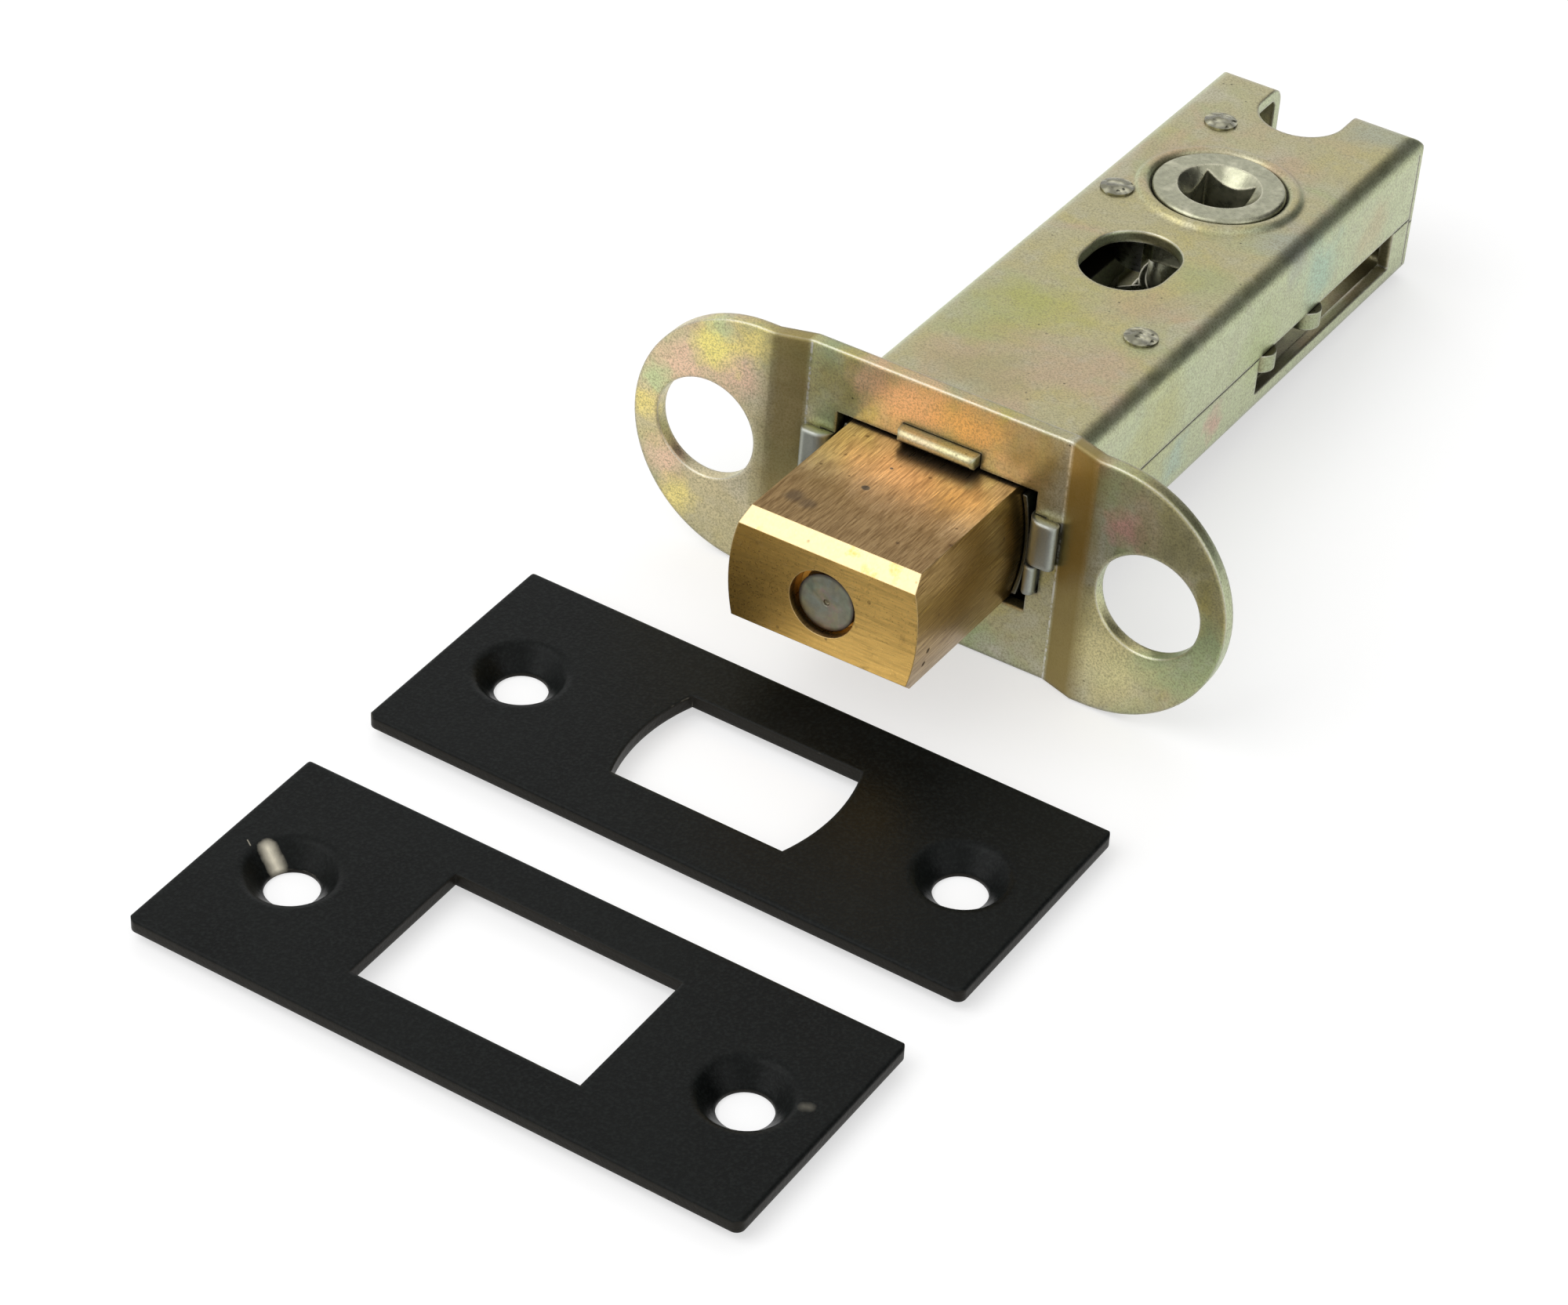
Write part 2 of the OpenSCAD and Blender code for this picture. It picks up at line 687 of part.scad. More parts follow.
module lug(y) {
    r = lug_w / 2;
    translate([0, y, 0]) {
        along_z(lug_low, slider_z + 0.05) rect(lug_root_x, -r, slider_half, r);
        along_z(lug_low, lug_top) {
            rect(lug_root_x, -r, lug_reach - r, r);
            translate([lug_reach - r, 0]) circle(r);
        }
    }
}

module slider() {
    color(steel) laid_down() difference() {
        union() {
            along_z(slider_z, slider_top) slider_outline();
            for (i = [0, 1]) lug(lug_y + i * lug_pitch);
            along_z(tine_low, slider_z + 0.05) for (s = [0, 1]) translate([0, drive_y])
                mirror([0, s]) rect(-slider_half, tine_gap, -tine_x, tine_gap + tine_len);
        }
        for (s = [-1, 1]) translate([s * rivet_x, rivet_y, slider_z - past])
            cylinder(r = rivet_r, h = slider_t + 2 * past);
    }
}

// Follower turned for the thrown bolt: journals, cam with two flats, lever and flange
module follower() {
    hub_top = top_z + hub_proud;
    rim_low = hub_top - rim_round_r;
    sink_deep = spindle_sink_r - spindle_af / 2;
    color(bright) laid_down() translate([0, hub_y, 0]) difference() {
        union() {
            for (s = [0, 1]) mirror([0, 0, s]) rotate_extrude() {
                rect(0, 0, journal_r, rim_low);
                rect(0, rim_low, journal_r - rim_round_r, hub_top);
                intersection() {
                    translate([journal_r - rim_round_r, rim_low]) circle(rim_round_r);
                    rect(0, rim_low, journal_r, hub_top);
                }
            }
            intersection() {
                along_z(cam_low, cam_top) circle(cam_r);
                for_flats();
            }
            along_z(lever_low, lever_top) {
                circle(lever_hub_r);
                rotate(180 + lever_turn) {
                    rect(0, -shank_half, lever_r, shank_half);
                    translate([lever_r, 0]) circle(nose_r);
                }
            }
            along_z(flange_low, flange_top) circle(flange_r);
        }
        difference() {
            along_z(lever_top, cam_low) circle(cam_r + 1);
            along_z(lever_top - past, cam_low + past) circle(waist_r);
        }
        along_z(-hub_top - past, hub_top + past) square(spindle_af, center = true);
        for (s = [0, 1]) mirror([0, 0, s]) translate([0, 0, hub_top - sink_deep])
            cylinder(r1 = spindle_af / 2, r2 = spindle_sink_r + past,
                     h = sink_deep + past * sink_deep / (spindle_sink_r - spindle_af / 2));
    }
}

// The two flats that the spring holds, one for each end of the travel
module for_flats() {
    turn = 2 * lever_turn;
    face = leaf_dir + 90;
    intersection() {
        rotate(face) along_z(cam_low, cam_top) rect(-2 * cam_r, -2 * cam_r, flat_dist, 2 * cam_r);
        rotate(face + turn)
            along_z(cam_low, cam_top) rect(-2 * cam_r, -2 * cam_r, flat_dist, 2 * cam_r);
    }
}

module ring_part(r, from, sweep) {
    far = 3 * r;
    intersection() {
        difference() {
            circle(r + leaf_t / 2);
            circle(r - leaf_t / 2);
        }
        polygon([[0, 0], far * [cos(from), sin(from)],
                 far * [cos(from + sweep / 2), sin(from + sweep / 2)],
                 far * [cos(from + sweep), sin(from + sweep)]]);
    }
}

module detent_spring() {
    color(bright) laid_down() along_z(leaf_low, leaf_low + leaf_w) {
        translate(leaf_mid) rotate(leaf_dir)
            rect(-leaf_run / 2 - leaf_lead, -leaf_t / 2, leaf_run / 2, leaf_t / 2);
        translate(rear_pin) rotate(leaf_dir + 90) ring_part(wrap_r, -leaf_hook, leaf_hook);
        translate(leaf_mid) rotate(leaf_dir)
            translate([-leaf_run / 2 - leaf_lead, -leaf_curl_r]) ring_part(leaf_curl_r, 90, leaf_curl);
    }
}

// Riveted head: a low dome on a rim whose foot lies on the sheet
module rivet_head() {
    dome_r = (head_r * head_r + head_dome * head_dome) / (2 * head_dome);
    translate([0, 0, top_z]) rotate_extrude() {
        rect(0, 0, head_r, head_rim);
        intersection() {
            translate([0, head_rim + head_dome - dome_r]) circle(dome_r);
            rect(0, head_rim, head_r, head_rim + head_dome);
        }
    }
}

module through_pillar(at, r) {
    color(bright) laid_down() translate([at[0], at[1], 0]) {
        cylinder(r = r, h = 2 * in_z, center = true);
        cylinder(r = spigot_r, h = 2 * top_z + 0.02, center = true);
        rivet_head();
        mirror([0, 0, 1]) rivet_head();
    }
}

module front_pillar() {
    through_pillar(front_pin, pillar_r);
}

module rear_pillar() {
    through_pillar(rear_pin, peg_r);
}

module side_pin() {
    color(bright) laid_down() translate([side_pin_at[0], side_pin_at[1], 0]) {
        along_z(side_pin_low, in_z) circle(peg_r);
        along_z(side_pin_low, top_z + 0.01) circle(spigot_r);
        rivet_head();
    }
}

// Plate lying flat, with rounded upper edges and pressed countersinks
module plate(x, y, turn) {
    top = sink_drop + plate_t;
    spread = (sink_r - screw_r) / (top - sink_land);
    wall_low_r = screw_r - sink_land * spread + sink_wall;
    wall_top = sink_drop + 0.05;
    steep = atan2(1, spread);
    round_l = sink_lip_r * tan(steep / 2);
    lip_in = [sink_r - round_l * cos(steep), top - round_l * sin(steep)];
    color(black) translate([lay_x + x, lay_y + y, 0]) rotate(turn) difference() {
        union() {
            intersection() {
                along_z(sink_drop, top) round_rect(plate_l, plate_w, plate_corner_r);
                along_x(-plate_l, plate_l) intersection() {
                    translate([0, top / 2]) round_rect(plate_w, top, plate_edge_r);
                    rect(-plate_w, sink_drop, plate_w, top);
                }
                along_y(-plate_w, plate_w) intersection() {
                    translate([0, top / 2]) round_rect(plate_l, top, plate_edge_r);
                    rect(-plate_l, sink_drop, plate_l, top);
                }
            }
            for (s = [-1, 1]) translate([s * fixing_pitch / 2, 0, 0]) rotate_extrude()
                polygon([[0, 0], [wall_low_r, 0], [wall_low_r + wall_top * spread, wall_top],
                         [0, wall_top]]);
        }
        for (s = [-1, 1]) translate([s * fixing_pitch / 2, 0, 0]) rotate_extrude()
            difference() {
                polygon([[0, -past], [screw_r, -past], [screw_r, sink_land], lip_in,
                         [sink_r + round_l, top], [sink_r + round_l, top + past],
                         [0, top + past]]);
                translate([sink_r + round_l, top - sink_lip_r]) circle(sink_lip_r);
            }
        along_z(-past, top + past) children();
    }
}

module face_plate() {
    plate(face_x, face_y, face_turn) bulged(face_open_w, face_open_h, face_open_bulge);
}

module strike_plate() {
    plate(strike_x, strike_y, strike_turn) translate([0, strike_open_y])
        square([strike_open_w, strike_open_h], center = true);
}

upper_case();
lower_case();
forend();
bolt();
anti_saw_pin();
bolt_guide();
slider();
tail_rivet(-1);  // tail_rivet_left
tail_rivet(1);  // tail_rivet_right
follower();
detent_spring();
front_pillar();
side_pin();
rear_pillar();
face_plate();
strike_plate();
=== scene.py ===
"""Dresses the tubular deadbolt and its two plates with their real finishes."""

from math import cos, sin

import bpy
from mathutils import Matrix, Vector

bl_info = {
    "name": "Tubular deadbolt",
    "version": (1, 0, 0),
    "blender": (4, 5, 0),
    "location": "View3D > Sidebar > Deadbolt",
    "description": "Finishes of a tubular deadbolt with its face plate and strike plate, "
                   "and the table they lie on",
    "category": "Object",
}

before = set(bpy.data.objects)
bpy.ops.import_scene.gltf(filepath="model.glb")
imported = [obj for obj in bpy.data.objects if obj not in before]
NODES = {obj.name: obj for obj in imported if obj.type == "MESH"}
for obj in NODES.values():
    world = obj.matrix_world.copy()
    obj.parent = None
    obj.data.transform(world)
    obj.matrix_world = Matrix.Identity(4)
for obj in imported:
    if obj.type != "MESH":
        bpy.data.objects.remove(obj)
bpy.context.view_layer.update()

CASE = ("upper_case", "lower_case")
RIVETS = ("front_pillar", "side_pin", "rear_pillar", "tail_rivet_left", "tail_rivet_right")
PLATES = ("face_plate", "strike_plate")

# Places on the pieces, in the frame's metres. A pair gives where a change starts and where
# it is full. First the lock's middle, its two sides and the case's tabs before the forend.
MIDDLE_X = 0.00118
LEFT_TO_RIGHT = (-0.0010, 0.0010)
TAB_SIDE = (0.0070, 0.0080)
TAB_FRONT = (-0.0010, -0.0015)
# The creases of the forend's recess, and the steps outside them
CREASE_X = 0.0130
CREASE_LINE = (0.00014, 0.00006)
STEP_INNER = (CREASE_X, CREASE_X + 0.0004)
STEP_OUTER = (CREASE_X + 0.0046, CREASE_X + 0.0026)
# The follower's lever, the pin in the bolt, and the hole round the pin
LEVER_FRONT = (0.0450, 0.0440)
PIN_FACE = (0.00118, -0.01801, 0.01344)
PIN_RING_RADIUS = 0.00272
PIN_HOLE = (0.00118, -0.01680, 0.01360)
PIN_HOLE_RADIUS = 0.0035
# The bolt's tarnish towards its end, and the dulled side of its end face
TARNISH_Y = (-0.0006, -0.0064)
DULLED_X = (0.0065, -0.0035)
# Pits and stains of the bolt: place, radius, softness, strength
MARKS = (((-0.0008, -0.0088, 0.0191), 0.00042, 0.3, 0.85),
         ((-0.00056, -0.00486, 0.01883), 0.00018, 0.4, 0.80),
         ((-0.0050, -0.0136, 0.0194), 0.00120, 0.6, 0.50),
         ((-0.0035, -0.0139, 0.0195), 0.00100, 0.6, 0.45),
         ((0.01045, -0.01644, 0.01143), 0.00032, 0.4, 0.85),
         ((0.01023, -0.01669, 0.01003), 0.00032, 0.4, 0.85))
# Rubbed streaks of the strike plate's coat, where the bare steel is near white as a painted
# highlight: place, half its run, radius, softness, strength
RUBBED = (((-0.0264, -0.0600, 0.00125), (0.0006, -0.0002, -0.00065), 0.0010, 1.0, 0.85),
          ((-0.0285, -0.0604, 0.0022), (0.0003, -0.0002, 0.0), 0.00010, 0.60, 0.6),
          ((0.0263, -0.0608, 0.0023), (0.0002, 0.0001, 0.0), 0.00060, 1.0, 0.10))
# Dark brown for the dirt in pits, and for painted shade in corners, in hollows and on the
# follower's lever inside the case
DIRT_AND_SHADE = (0.04, 0.036, 0.022)
# Patches of the film, and on the forend also patches of painted light: place, radius, colour,
# strength
PINK, GOLD, GREEN = (0.92, 0.63, 0.45), (0.96, 0.80, 0.27), (0.62, 0.72, 0.38)
# On the forend, the wide pale patch first is a painted reflection that lightens the left ear; the
# small patches after it are film blooms.
FOREND_FILM_AND_PAINTED_LIGHT = (((-0.0230, -0.0022, 0.0140), 0.0150, (0.86, 0.72, 0.44), 0.75),
                  ((-0.0239, -0.0016, 0.0186), 0.0034, PINK, 0.85),
                  ((-0.0187, -0.0016, 0.0197), 0.0036, PINK, 0.80),
                  ((-0.0210, -0.0015, 0.0215), 0.0032, (1.0, 0.88, 0.28), 0.95),
                  ((-0.0172, -0.0013, 0.0234), 0.0026, GOLD, 0.80),
                  ((-0.0267, -0.0018, 0.0157), 0.0022, GREEN, 0.85),
                  ((-0.0205, -0.0013, 0.0236), 0.0018, GREEN, 0.75),
                  ((-0.0254, -0.0023, 0.0078), 0.0028, PINK, 0.85),
                  ((-0.0279, -0.0020, 0.0129), 0.0020, GOLD, 0.85),
                  ((-0.0241, -0.0026, 0.0045), 0.0026, GOLD, 0.75),
                  ((0.0205, -0.0016, 0.0195), 0.0023, (0.72, 0.37, 0.33), 0.75),
                  # A darker patch on the right ear, painted shade.
                  ((0.0250, -0.0020, 0.0200), 0.0040, (0.42, 0.37, 0.17), 0.60),
                  ((0.0200, -0.0024, 0.0065), 0.0060, (0.78, 0.70, 0.36), 0.75),
                  # In the recess: the first and last patches darken its two ends, and the orange
                  # patches between them are a painted reflection of the brass bolt.
                  ((-0.0096, -0.0003, 0.0215), 0.0050, (0.34, 0.31, 0.15), 0.50),
                  ((-0.0018, -0.0003, 0.0225), 0.0050, (0.80, 0.50, 0.28), 0.90),
                  ((0.0045, -0.0003, 0.0218), 0.0045, (0.76, 0.48, 0.20), 0.85),
                  ((-0.0057, -0.0003, 0.0230), 0.0030, (0.74, 0.46, 0.28), 0.75),
                  ((0.0108, -0.0004, 0.0212), 0.0042, (0.28, 0.22, 0.085), 0.75))
CASE_PATCHES = (((-0.0026, 0.0244, 0.0187), 0.0062, (0.45, 0.45, 0.12), 0.75),
                ((-0.0035, 0.0180, 0.0191), 0.0045, (0.44, 0.43, 0.14), 0.60),
                ((0.0055, 0.0300, 0.0183), 0.0045, (0.52, 0.37, 0.21), 0.55),
                ((0.0080, 0.0370, 0.0179), 0.0045, (0.38, 0.44, 0.20), 0.50),
                ((0.0108, 0.0480, 0.0172), 0.0045, (0.40, 0.43, 0.38), 0.65),
                ((-0.0010, 0.0110, 0.0196), 0.0060, (0.40, 0.36, 0.17), 0.55),
                ((0.0050, 0.0600, 0.0164), 0.0040, (0.56, 0.39, 0.27), 0.50),
                ((0.0085, 0.0720, 0.0156), 0.0045, (0.38, 0.43, 0.36), 0.55),
                ((-0.0062, 0.0544, 0.0168), 0.0040, (0.50, 0.38, 0.22), 0.45),
                ((0.0124, 0.0200, 0.0130), 0.0065, (0.56, 0.56, 0.25), 0.75),
                ((0.0124, 0.0526, 0.0125), 0.0050, (0.40, 0.62, 0.50), 0.65),
                ((0.0124, 0.0400, 0.0110), 0.0050, (0.52, 0.60, 0.28), 0.60),
                ((0.0124, 0.0318, 0.0068), 0.0022, (0.72, 0.44, 0.36), 0.70),
                ((0.0124, 0.0247, 0.0070), 0.0030, (0.44, 0.60, 0.52), 0.60),
                ((0.0124, 0.0640, 0.0100), 0.0040, (0.60, 0.50, 0.30), 0.55))

# Camera: yaw, pitch and roll in radians, and the point on the table that it looks at
YAW, PITCH, ROLL = 0.529, 0.684, 0.048
AIM = Vector((-0.0067173, -0.0116370, 0.0))
AIM_DISTANCE = 0.429469
LENS, SENSOR_WIDTH, SHIFT_X = 111.66, 36.0, 0.00165
NEAREST, FARTHEST = 0.01, 20.0
# Lamps: name, direction, distance, size, watts, seen in reflections
LAMPS = (("front_left_softbox", (-0.42, -0.50, 0.78), 0.9, 0.8, 4.0, True),
         ("back_softbox", (-0.45, 0.70, 0.62), 1.0, 0.8, 2.2, False),
         ("right_softbox", (0.90, -0.25, 0.50), 1.0, 0.5, 1.0, True))
TABLE_SIZE, TABLE_HEIGHT = 6.0, -0.00005
CARD_SIZE, CARD_PLACE, CARD_SHADE = 0.92, Vector((0.42, 0.60, 0.30)), (0.02, 0.02, 0.02)
WHITE = (1.0, 1.0, 1.0)

# The colour sockets of a Mix node, and the rays that each bevel or occlusion node sends
MIX_A, MIX_B, MIX_RESULT = 6, 7, 2
RAYS = 6
# Added to the square of a mark's run, which is nought for a round mark, before it divides
NEVER_ZERO = 1e-12


def colour(name, description, default):
    """A colour setting."""
    return bpy.props.FloatVectorProperty(
        name=name, description=description, subtype="COLOR", size=3,
        min=0.0, max=1.0, default=default)


def length(name, description, default):
    """A length setting in metres."""
    return bpy.props.FloatProperty(
        name=name, description=description, subtype="DISTANCE", unit="LENGTH",
        min=0.0, precision=5, default=default)


def share(name, description, default):
    """A setting between nought and one."""
    return bpy.props.FloatProperty(
        name=name, description=description, subtype="FACTOR", min=0.0, max=1.0,
        default=default)


class PassivateSettings(bpy.types.PropertyGroup):
    """Yellow passivate on the plated steel sheet."""
    base: colour("Base", "Khaki of the passivated zinc", (0.42, 0.385, 0.225))
    pale: colour("Pale", "Silvery zinc where the film is thin", (0.47, 0.46, 0.38))
    rose: colour("Rose", "Pink bloom of the film", (0.50, 0.315, 0.235))
    gold: colour("Gold", "Yellow bloom of the film", (0.47, 0.40, 0.115))
    leaf: colour("Leaf", "Green bloom of the film", (0.335, 0.42, 0.215))
    worn: colour("Worn edge", "Bare zinc along cut and folded edges", (0.62, 0.61, 0.54))
    flank: colour("Flank", "Pale green film on the folded sides", (0.50, 0.56, 0.355))
    folded: colour("Folded tabs", "Blue-grey zinc of the folded tabs", (0.34, 0.365, 0.36))
    # Joggle: painted shade in the forend's two steps.
    shaded: colour("Joggle", "Dark gold in the forend's two steps", (0.245, 0.18, 0.05))
    bloom: length("Bloom", "Size of the colour blooms", 0.011)
    wear: length("Wear", "Width of the worn edges", 0.00035)
    roughness: share("Roughness", "Roughness of the plating", 0.36)


class BrassSettings(bpy.types.PropertyGroup):
    """Brass of the bolt."""
    milled: colour("Milled", "Brass of the milled end", (0.88, 0.56, 0.165))
    dulled: colour("Dulled", "Milled end where it has dulled", (0.53, 0.315, 0.075))
    chamfer: colour("Chamfer", "Freshly cut brass of the chamfers", (0.56, 0.43, 0.235))
    drawn: colour("Drawn", "Brass of the drawn sides", (0.70, 0.51, 0.30))
    flecked: colour("Flecked", "Lighter brass on the drawn sides", (0.82, 0.63, 0.40))
    flank: colour("Flank", "Olive tarnish of the bulging sides", (0.50, 0.315, 0.040))
    tarnish: colour("Tarnish", "Purple-brown tarnish towards the end", (0.280, 0.175, 0.065))
    groove: colour("Grooves", "Tint of the fine drawing lines", (0.52, 0.47, 0.42))
    stain: colour("Stain", "Dark stains and nicks", (0.09, 0.05, 0.025))
    pit: colour("Pit", "Inside of the single pits", (0.05, 0.035, 0.025))
    roughness: share("Roughness", "Roughness of the brass", 0.30)


class PinSettings(bpy.types.PropertyGroup):
    """Plated pins, rivets, spring and the cast follower."""
    cast: colour("Cast", "Plating of the cast follower", (0.42, 0.42, 0.30))
    rivet: colour("Rivet", "Peened heads of the pins", (0.62, 0.60, 0.44))
    pin: colour("Pin", "Dull end of the hardened pin", (0.34, 0.33, 0.25))
    pin_pale: colour("Pin, pale", "Pale bloom on the pin", (0.33, 0.36, 0.30))
    pin_rose: colour("Pin, rose", "Pink bloom on the pin", (0.40, 0.26, 0.25))
    pin_gold: colour("Pin, gold", "Yellow bloom on the pin", (0.38, 0.34, 0.20))
    pin_leaf: colour("Pin, leaf", "Green bloom on the pin", (0.30, 0.35, 0.25))
    pin_ring: colour("Pin, ring", "Dark ring round the pin's end", (0.07, 0.055, 0.05))
    spring: colour("Spring", "Spring steel", (0.34, 0.34, 0.32))
    # Rubbed: the follower's pale mottling, and its rubbed edges made near white as a painted
    # highlight.
    bright: colour("Rubbed", "Rubbed edges", (0.92, 0.88, 0.68))


class CoatSettings(bpy.types.PropertyGroup):
    """Black coat of the plates."""
    black: colour("Black", "Colour of the coat", (0.0026, 0.0031, 0.0029))
    # Rim: a lighter grey along the plates' rims, a painted highlight.
    rim_highlight: colour("Rim", "Thin coat along the rims", (0.020, 0.022, 0.021))
    # Cut: brownish cut edges, lightened as painted light bounced up from the table.
    cut: colour("Cut", "Brownish coat on the cut edges", (0.024, 0.021, 0.016))
    # Bare: steel where the coat is gone, made near white as a painted highlight.
    bare_and_glint: colour("Bare", "Steel where the coat is gone", (0.95, 0.88, 0.70))
    wear: length("Wear", "Width of the chipped edges", 0.00025)
    roughness: share("Roughness", "Roughness of the coat", 0.35)


class StageSettings(bpy.types.PropertyGroup):
    """Table, lamps and camera."""
    floor: colour("Table", "Colour of the table", (0.52, 0.52, 0.52))
    glow: share("Glow", "White that the camera and reflections see on the table", 0.56)
    world: share("World", "Strength of the light from all round", 0.5)


class Nodes:
    """A short way to place and join shader nodes in one tree."""

    def __init__(self, tree):
        self.tree = tree

    def add(self, kind, inputs=None, **settings):
        """A new node, with its settings and what feeds its inputs."""
        node = self.tree.nodes.new(kind)
        for key, value in settings.items():
            setattr(node, key, value)
        for key, value in (inputs or {}).items():
            self.feed(node.inputs[key], value)
        return node

    def feed(self, socket, value):
        """Links an output to a socket, or sets the socket's own value."""
        if isinstance(value, bpy.types.NodeSocket):
            self.tree.links.new(value, socket)
        else:
            socket.default_value = value

    def maths(self, operation, a, b=0.0):
        """The result of one Math node on two values."""
        node = self.add("ShaderNodeMath", operation=operation)
        self.feed(node.inputs[0], a)
        self.feed(node.inputs[1], b)
        return node.outputs[0]

    def times(self, a, b):
        """Two values or masks multiplied."""
        return self.maths("MULTIPLY", a, b)

    def vector(self, operation, a, b, output="Vector"):
        """The result of one Vector Math node on two vectors."""
        node = self.add("ShaderNodeVectorMath", operation=operation)
        self.feed(node.inputs[0], a)
        self.feed(node.inputs[1], b)
        return node.outputs[output]

    def mix(self, factor, a, b, blend="MIX"):
        """A colour between two, or one blended into the other."""
        node = self.add("ShaderNodeMix", data_type="RGBA", blend_type=blend)
        self.feed(node.inputs["Factor"], factor)
        self.feed(node.inputs[MIX_A], a)
        self.feed(node.inputs[MIX_B], b)
        return node.outputs[MIX_RESULT]

    def cover(self, under, shade, mask, strength):
        """A colour laid over another where the mask is on."""
        return self.mix(self.times(mask, strength), under, rgba(shade))

    def spread(self, value, low, high, to_low=0.0, to_high=1.0):
        """A value's span from low to high, stretched to another span and cut off there."""
        node = self.add("ShaderNodeMapRange", clamp=True,
                        inputs={"Value": value, "From Min": low, "From Max": high,
                                "To Min": to_low, "To Max": to_high})
        return node.outputs["Result"]

    def noise(self, place, scale, detail=3.0, rough=0.55, swirl=0.0):
        """Cloudy noise from 0 to 1."""
        node = self.add("ShaderNodeTexNoise",
                        inputs={"Vector": place, "Scale": scale, "Detail": detail,
                                "Roughness": rough, "Distortion": swirl})
        return node.outputs["Fac"]

    def here(self):
        """The place on the piece, in the frame's metres."""
        return self.add("ShaderNodeTexCoord").outputs["Object"]

    def split_place(self):
        """The place on the piece as its X, Y and Z."""
        return self.add("ShaderNodeSeparateXYZ", inputs={"Vector": self.here()}).outputs

    def off_middle(self, place):
        """How far to either side of the lock's middle a place lies."""
        return self.maths("ABSOLUTE", self.maths("SUBTRACT", place["X"], MIDDLE_X))

    def facing(self, axis):
        """How squarely the surface faces along one axis, from -1 to 1."""
        normal = self.add("ShaderNodeTexCoord").outputs["Normal"]
        return self.add("ShaderNodeSeparateXYZ", inputs={"Vector": normal}).outputs[axis]

    def effect(self, name, **inputs):
        """Places one of the shared effects, built when it is first wanted."""
        tree = bpy.data.node_groups.get(name) or EFFECTS[name](name)
        node = self.add("ShaderNodeGroup", node_tree=tree)
        for key, value in inputs.items():
            self.feed(node.inputs[key.replace("_", " ").capitalize()], value)
        return node.outputs


def rgba(triple, tone=1.0):
    """A colour with its alpha, made darker or lighter by its tone."""
    return (*(tone * part for part in triple), 1.0)


def new_group(name, inputs, outputs):
    """A node group with named sockets: the helper for its tree, and its two ends."""
    tree = bpy.data.node_groups.new(name, "ShaderNodeTree")
    for label, default in inputs.items():
        kind = "Float" if isinstance(default, float) else \
               "Color" if len(default) == 4 else "Vector"
        socket = tree.interface.new_socket(name=label, in_out="INPUT",
                                           socket_type="NodeSocket" + kind)
        socket.default_value = default
    for label, kind in outputs.items():
        tree.interface.new_socket(name=label, in_out="OUTPUT", socket_type="NodeSocket" + kind)
    n = Nodes(tree)
    return n, n.add("NodeGroupInput").outputs, n.add("NodeGroupOutput").inputs


def edge_wear_and_highlight(name):
    """Where an outer edge has been rubbed, broken up along its length; the same mask also lays
    painted highlights along the plates' rims and the follower's edges.
    """
    n, given, result = new_group(name, {"Width": 0.0004, "Breakup": 700.0, "Ragged": 0.3},
                                 {"Mask": "Float"})
    rounded = n.add("ShaderNodeBevel", samples=RAYS, inputs={"Radius": given["Width"]})
    true = n.add("ShaderNodeNewGeometry").outputs["Normal"]
    bend = n.maths("SUBTRACT", 1.0, n.vector("DOT_PRODUCT", rounded.outputs["Normal"], true,
                                             "Value"))
    patchy = n.times(n.maths("SUBTRACT", n.noise(n.here(), given["Breakup"]), 0.5),
                     given["Ragged"])
    n.feed(result["Mask"], n.spread(n.maths("ADD", bend, patchy), 0.03, 0.16))
    return n.tree


def film(name):
    """Interference blooms of a thin passivate film."""
    n, given, result = new_group(
        name, {"Base": rgba((0.4, 0.4, 0.2)), "Pale": rgba((0.5, 0.5, 0.4)),
               "Rose": rgba((0.5, 0.3, 0.2)), "Gold": rgba((0.5, 0.4, 0.1)),
               "Leaf": rgba((0.3, 0.4, 0.2)), "Size": 0.01, "Strength": 1.0,
               "Shift": (0.0, 0.0, 0.0)}, {"Color": "Color"})
    place = n.vector("ADD", n.here(), given["Shift"])
    often = n.maths("DIVIDE", 1.0, given["Size"])
    waves = [n.noise(n.vector("ADD", place, shift), often, 4.0, 0.5, 0.9)
             for shift in ((0.0, 0.0, 0.0), (0.31, 0.17, 0.05), (0.07, 0.43, 0.23))]
    tint = n.mix(n.spread(waves[0], 0.50, 0.66), given["Base"], given["Gold"])
    tint = n.mix(n.spread(waves[1], 0.53, 0.68), tint, given["Rose"])
    tint = n.mix(n.spread(waves[2], 0.52, 0.68), tint, given["Leaf"])
    tint = n.mix(n.spread(waves[0], 0.44, 0.33), tint, given["Pale"])
    n.feed(result["Color"], n.mix(given["Strength"], given["Base"], tint))
    return n.tree


def put_relief(n, given, result, height):
    """Puts out a height as a value, and as a relief over softly rounded edges."""
    rounded = n.add("ShaderNodeBevel", samples=RAYS, inputs={"Radius": given["Rounding"]})
    relief = n.add("ShaderNodeBump", inputs={"Height": height, "Distance": given["Depth"],
                                             "Normal": rounded.outputs["Normal"]})
    n.feed(result["Value"], height)
    n.feed(result["Normal"], relief.outputs["Normal"])


def grain(name):
    """Fine crystalline grain, with its relief and softly rounded edges."""
    n, given, result = new_group(name, {"Scale": 1500.0, "Depth": 0.00001, "Rounding": 0.0001},
                                 {"Value": "Float", "Normal": "Vector"})
    put_relief(n, given, result, n.noise(n.here(), given["Scale"], 4.0, 0.6))
    return n.tree


def brushed(name):
    """Long fine lines left by drawing or milling."""
    n, given, result = new_group(
        name, {"Stretch": (1.0, 0.03, 1.0), "Scale": 2600.0, "Depth": 0.00001,
               "Rounding": 0.0001}, {"Value": "Float", "Normal": "Vector"})
    place = n.vector("MULTIPLY", n.here(), given["Stretch"])
    put_relief(n, given, result, n.noise(place, given["Scale"], 3.0, 0.65))
    return n.tree


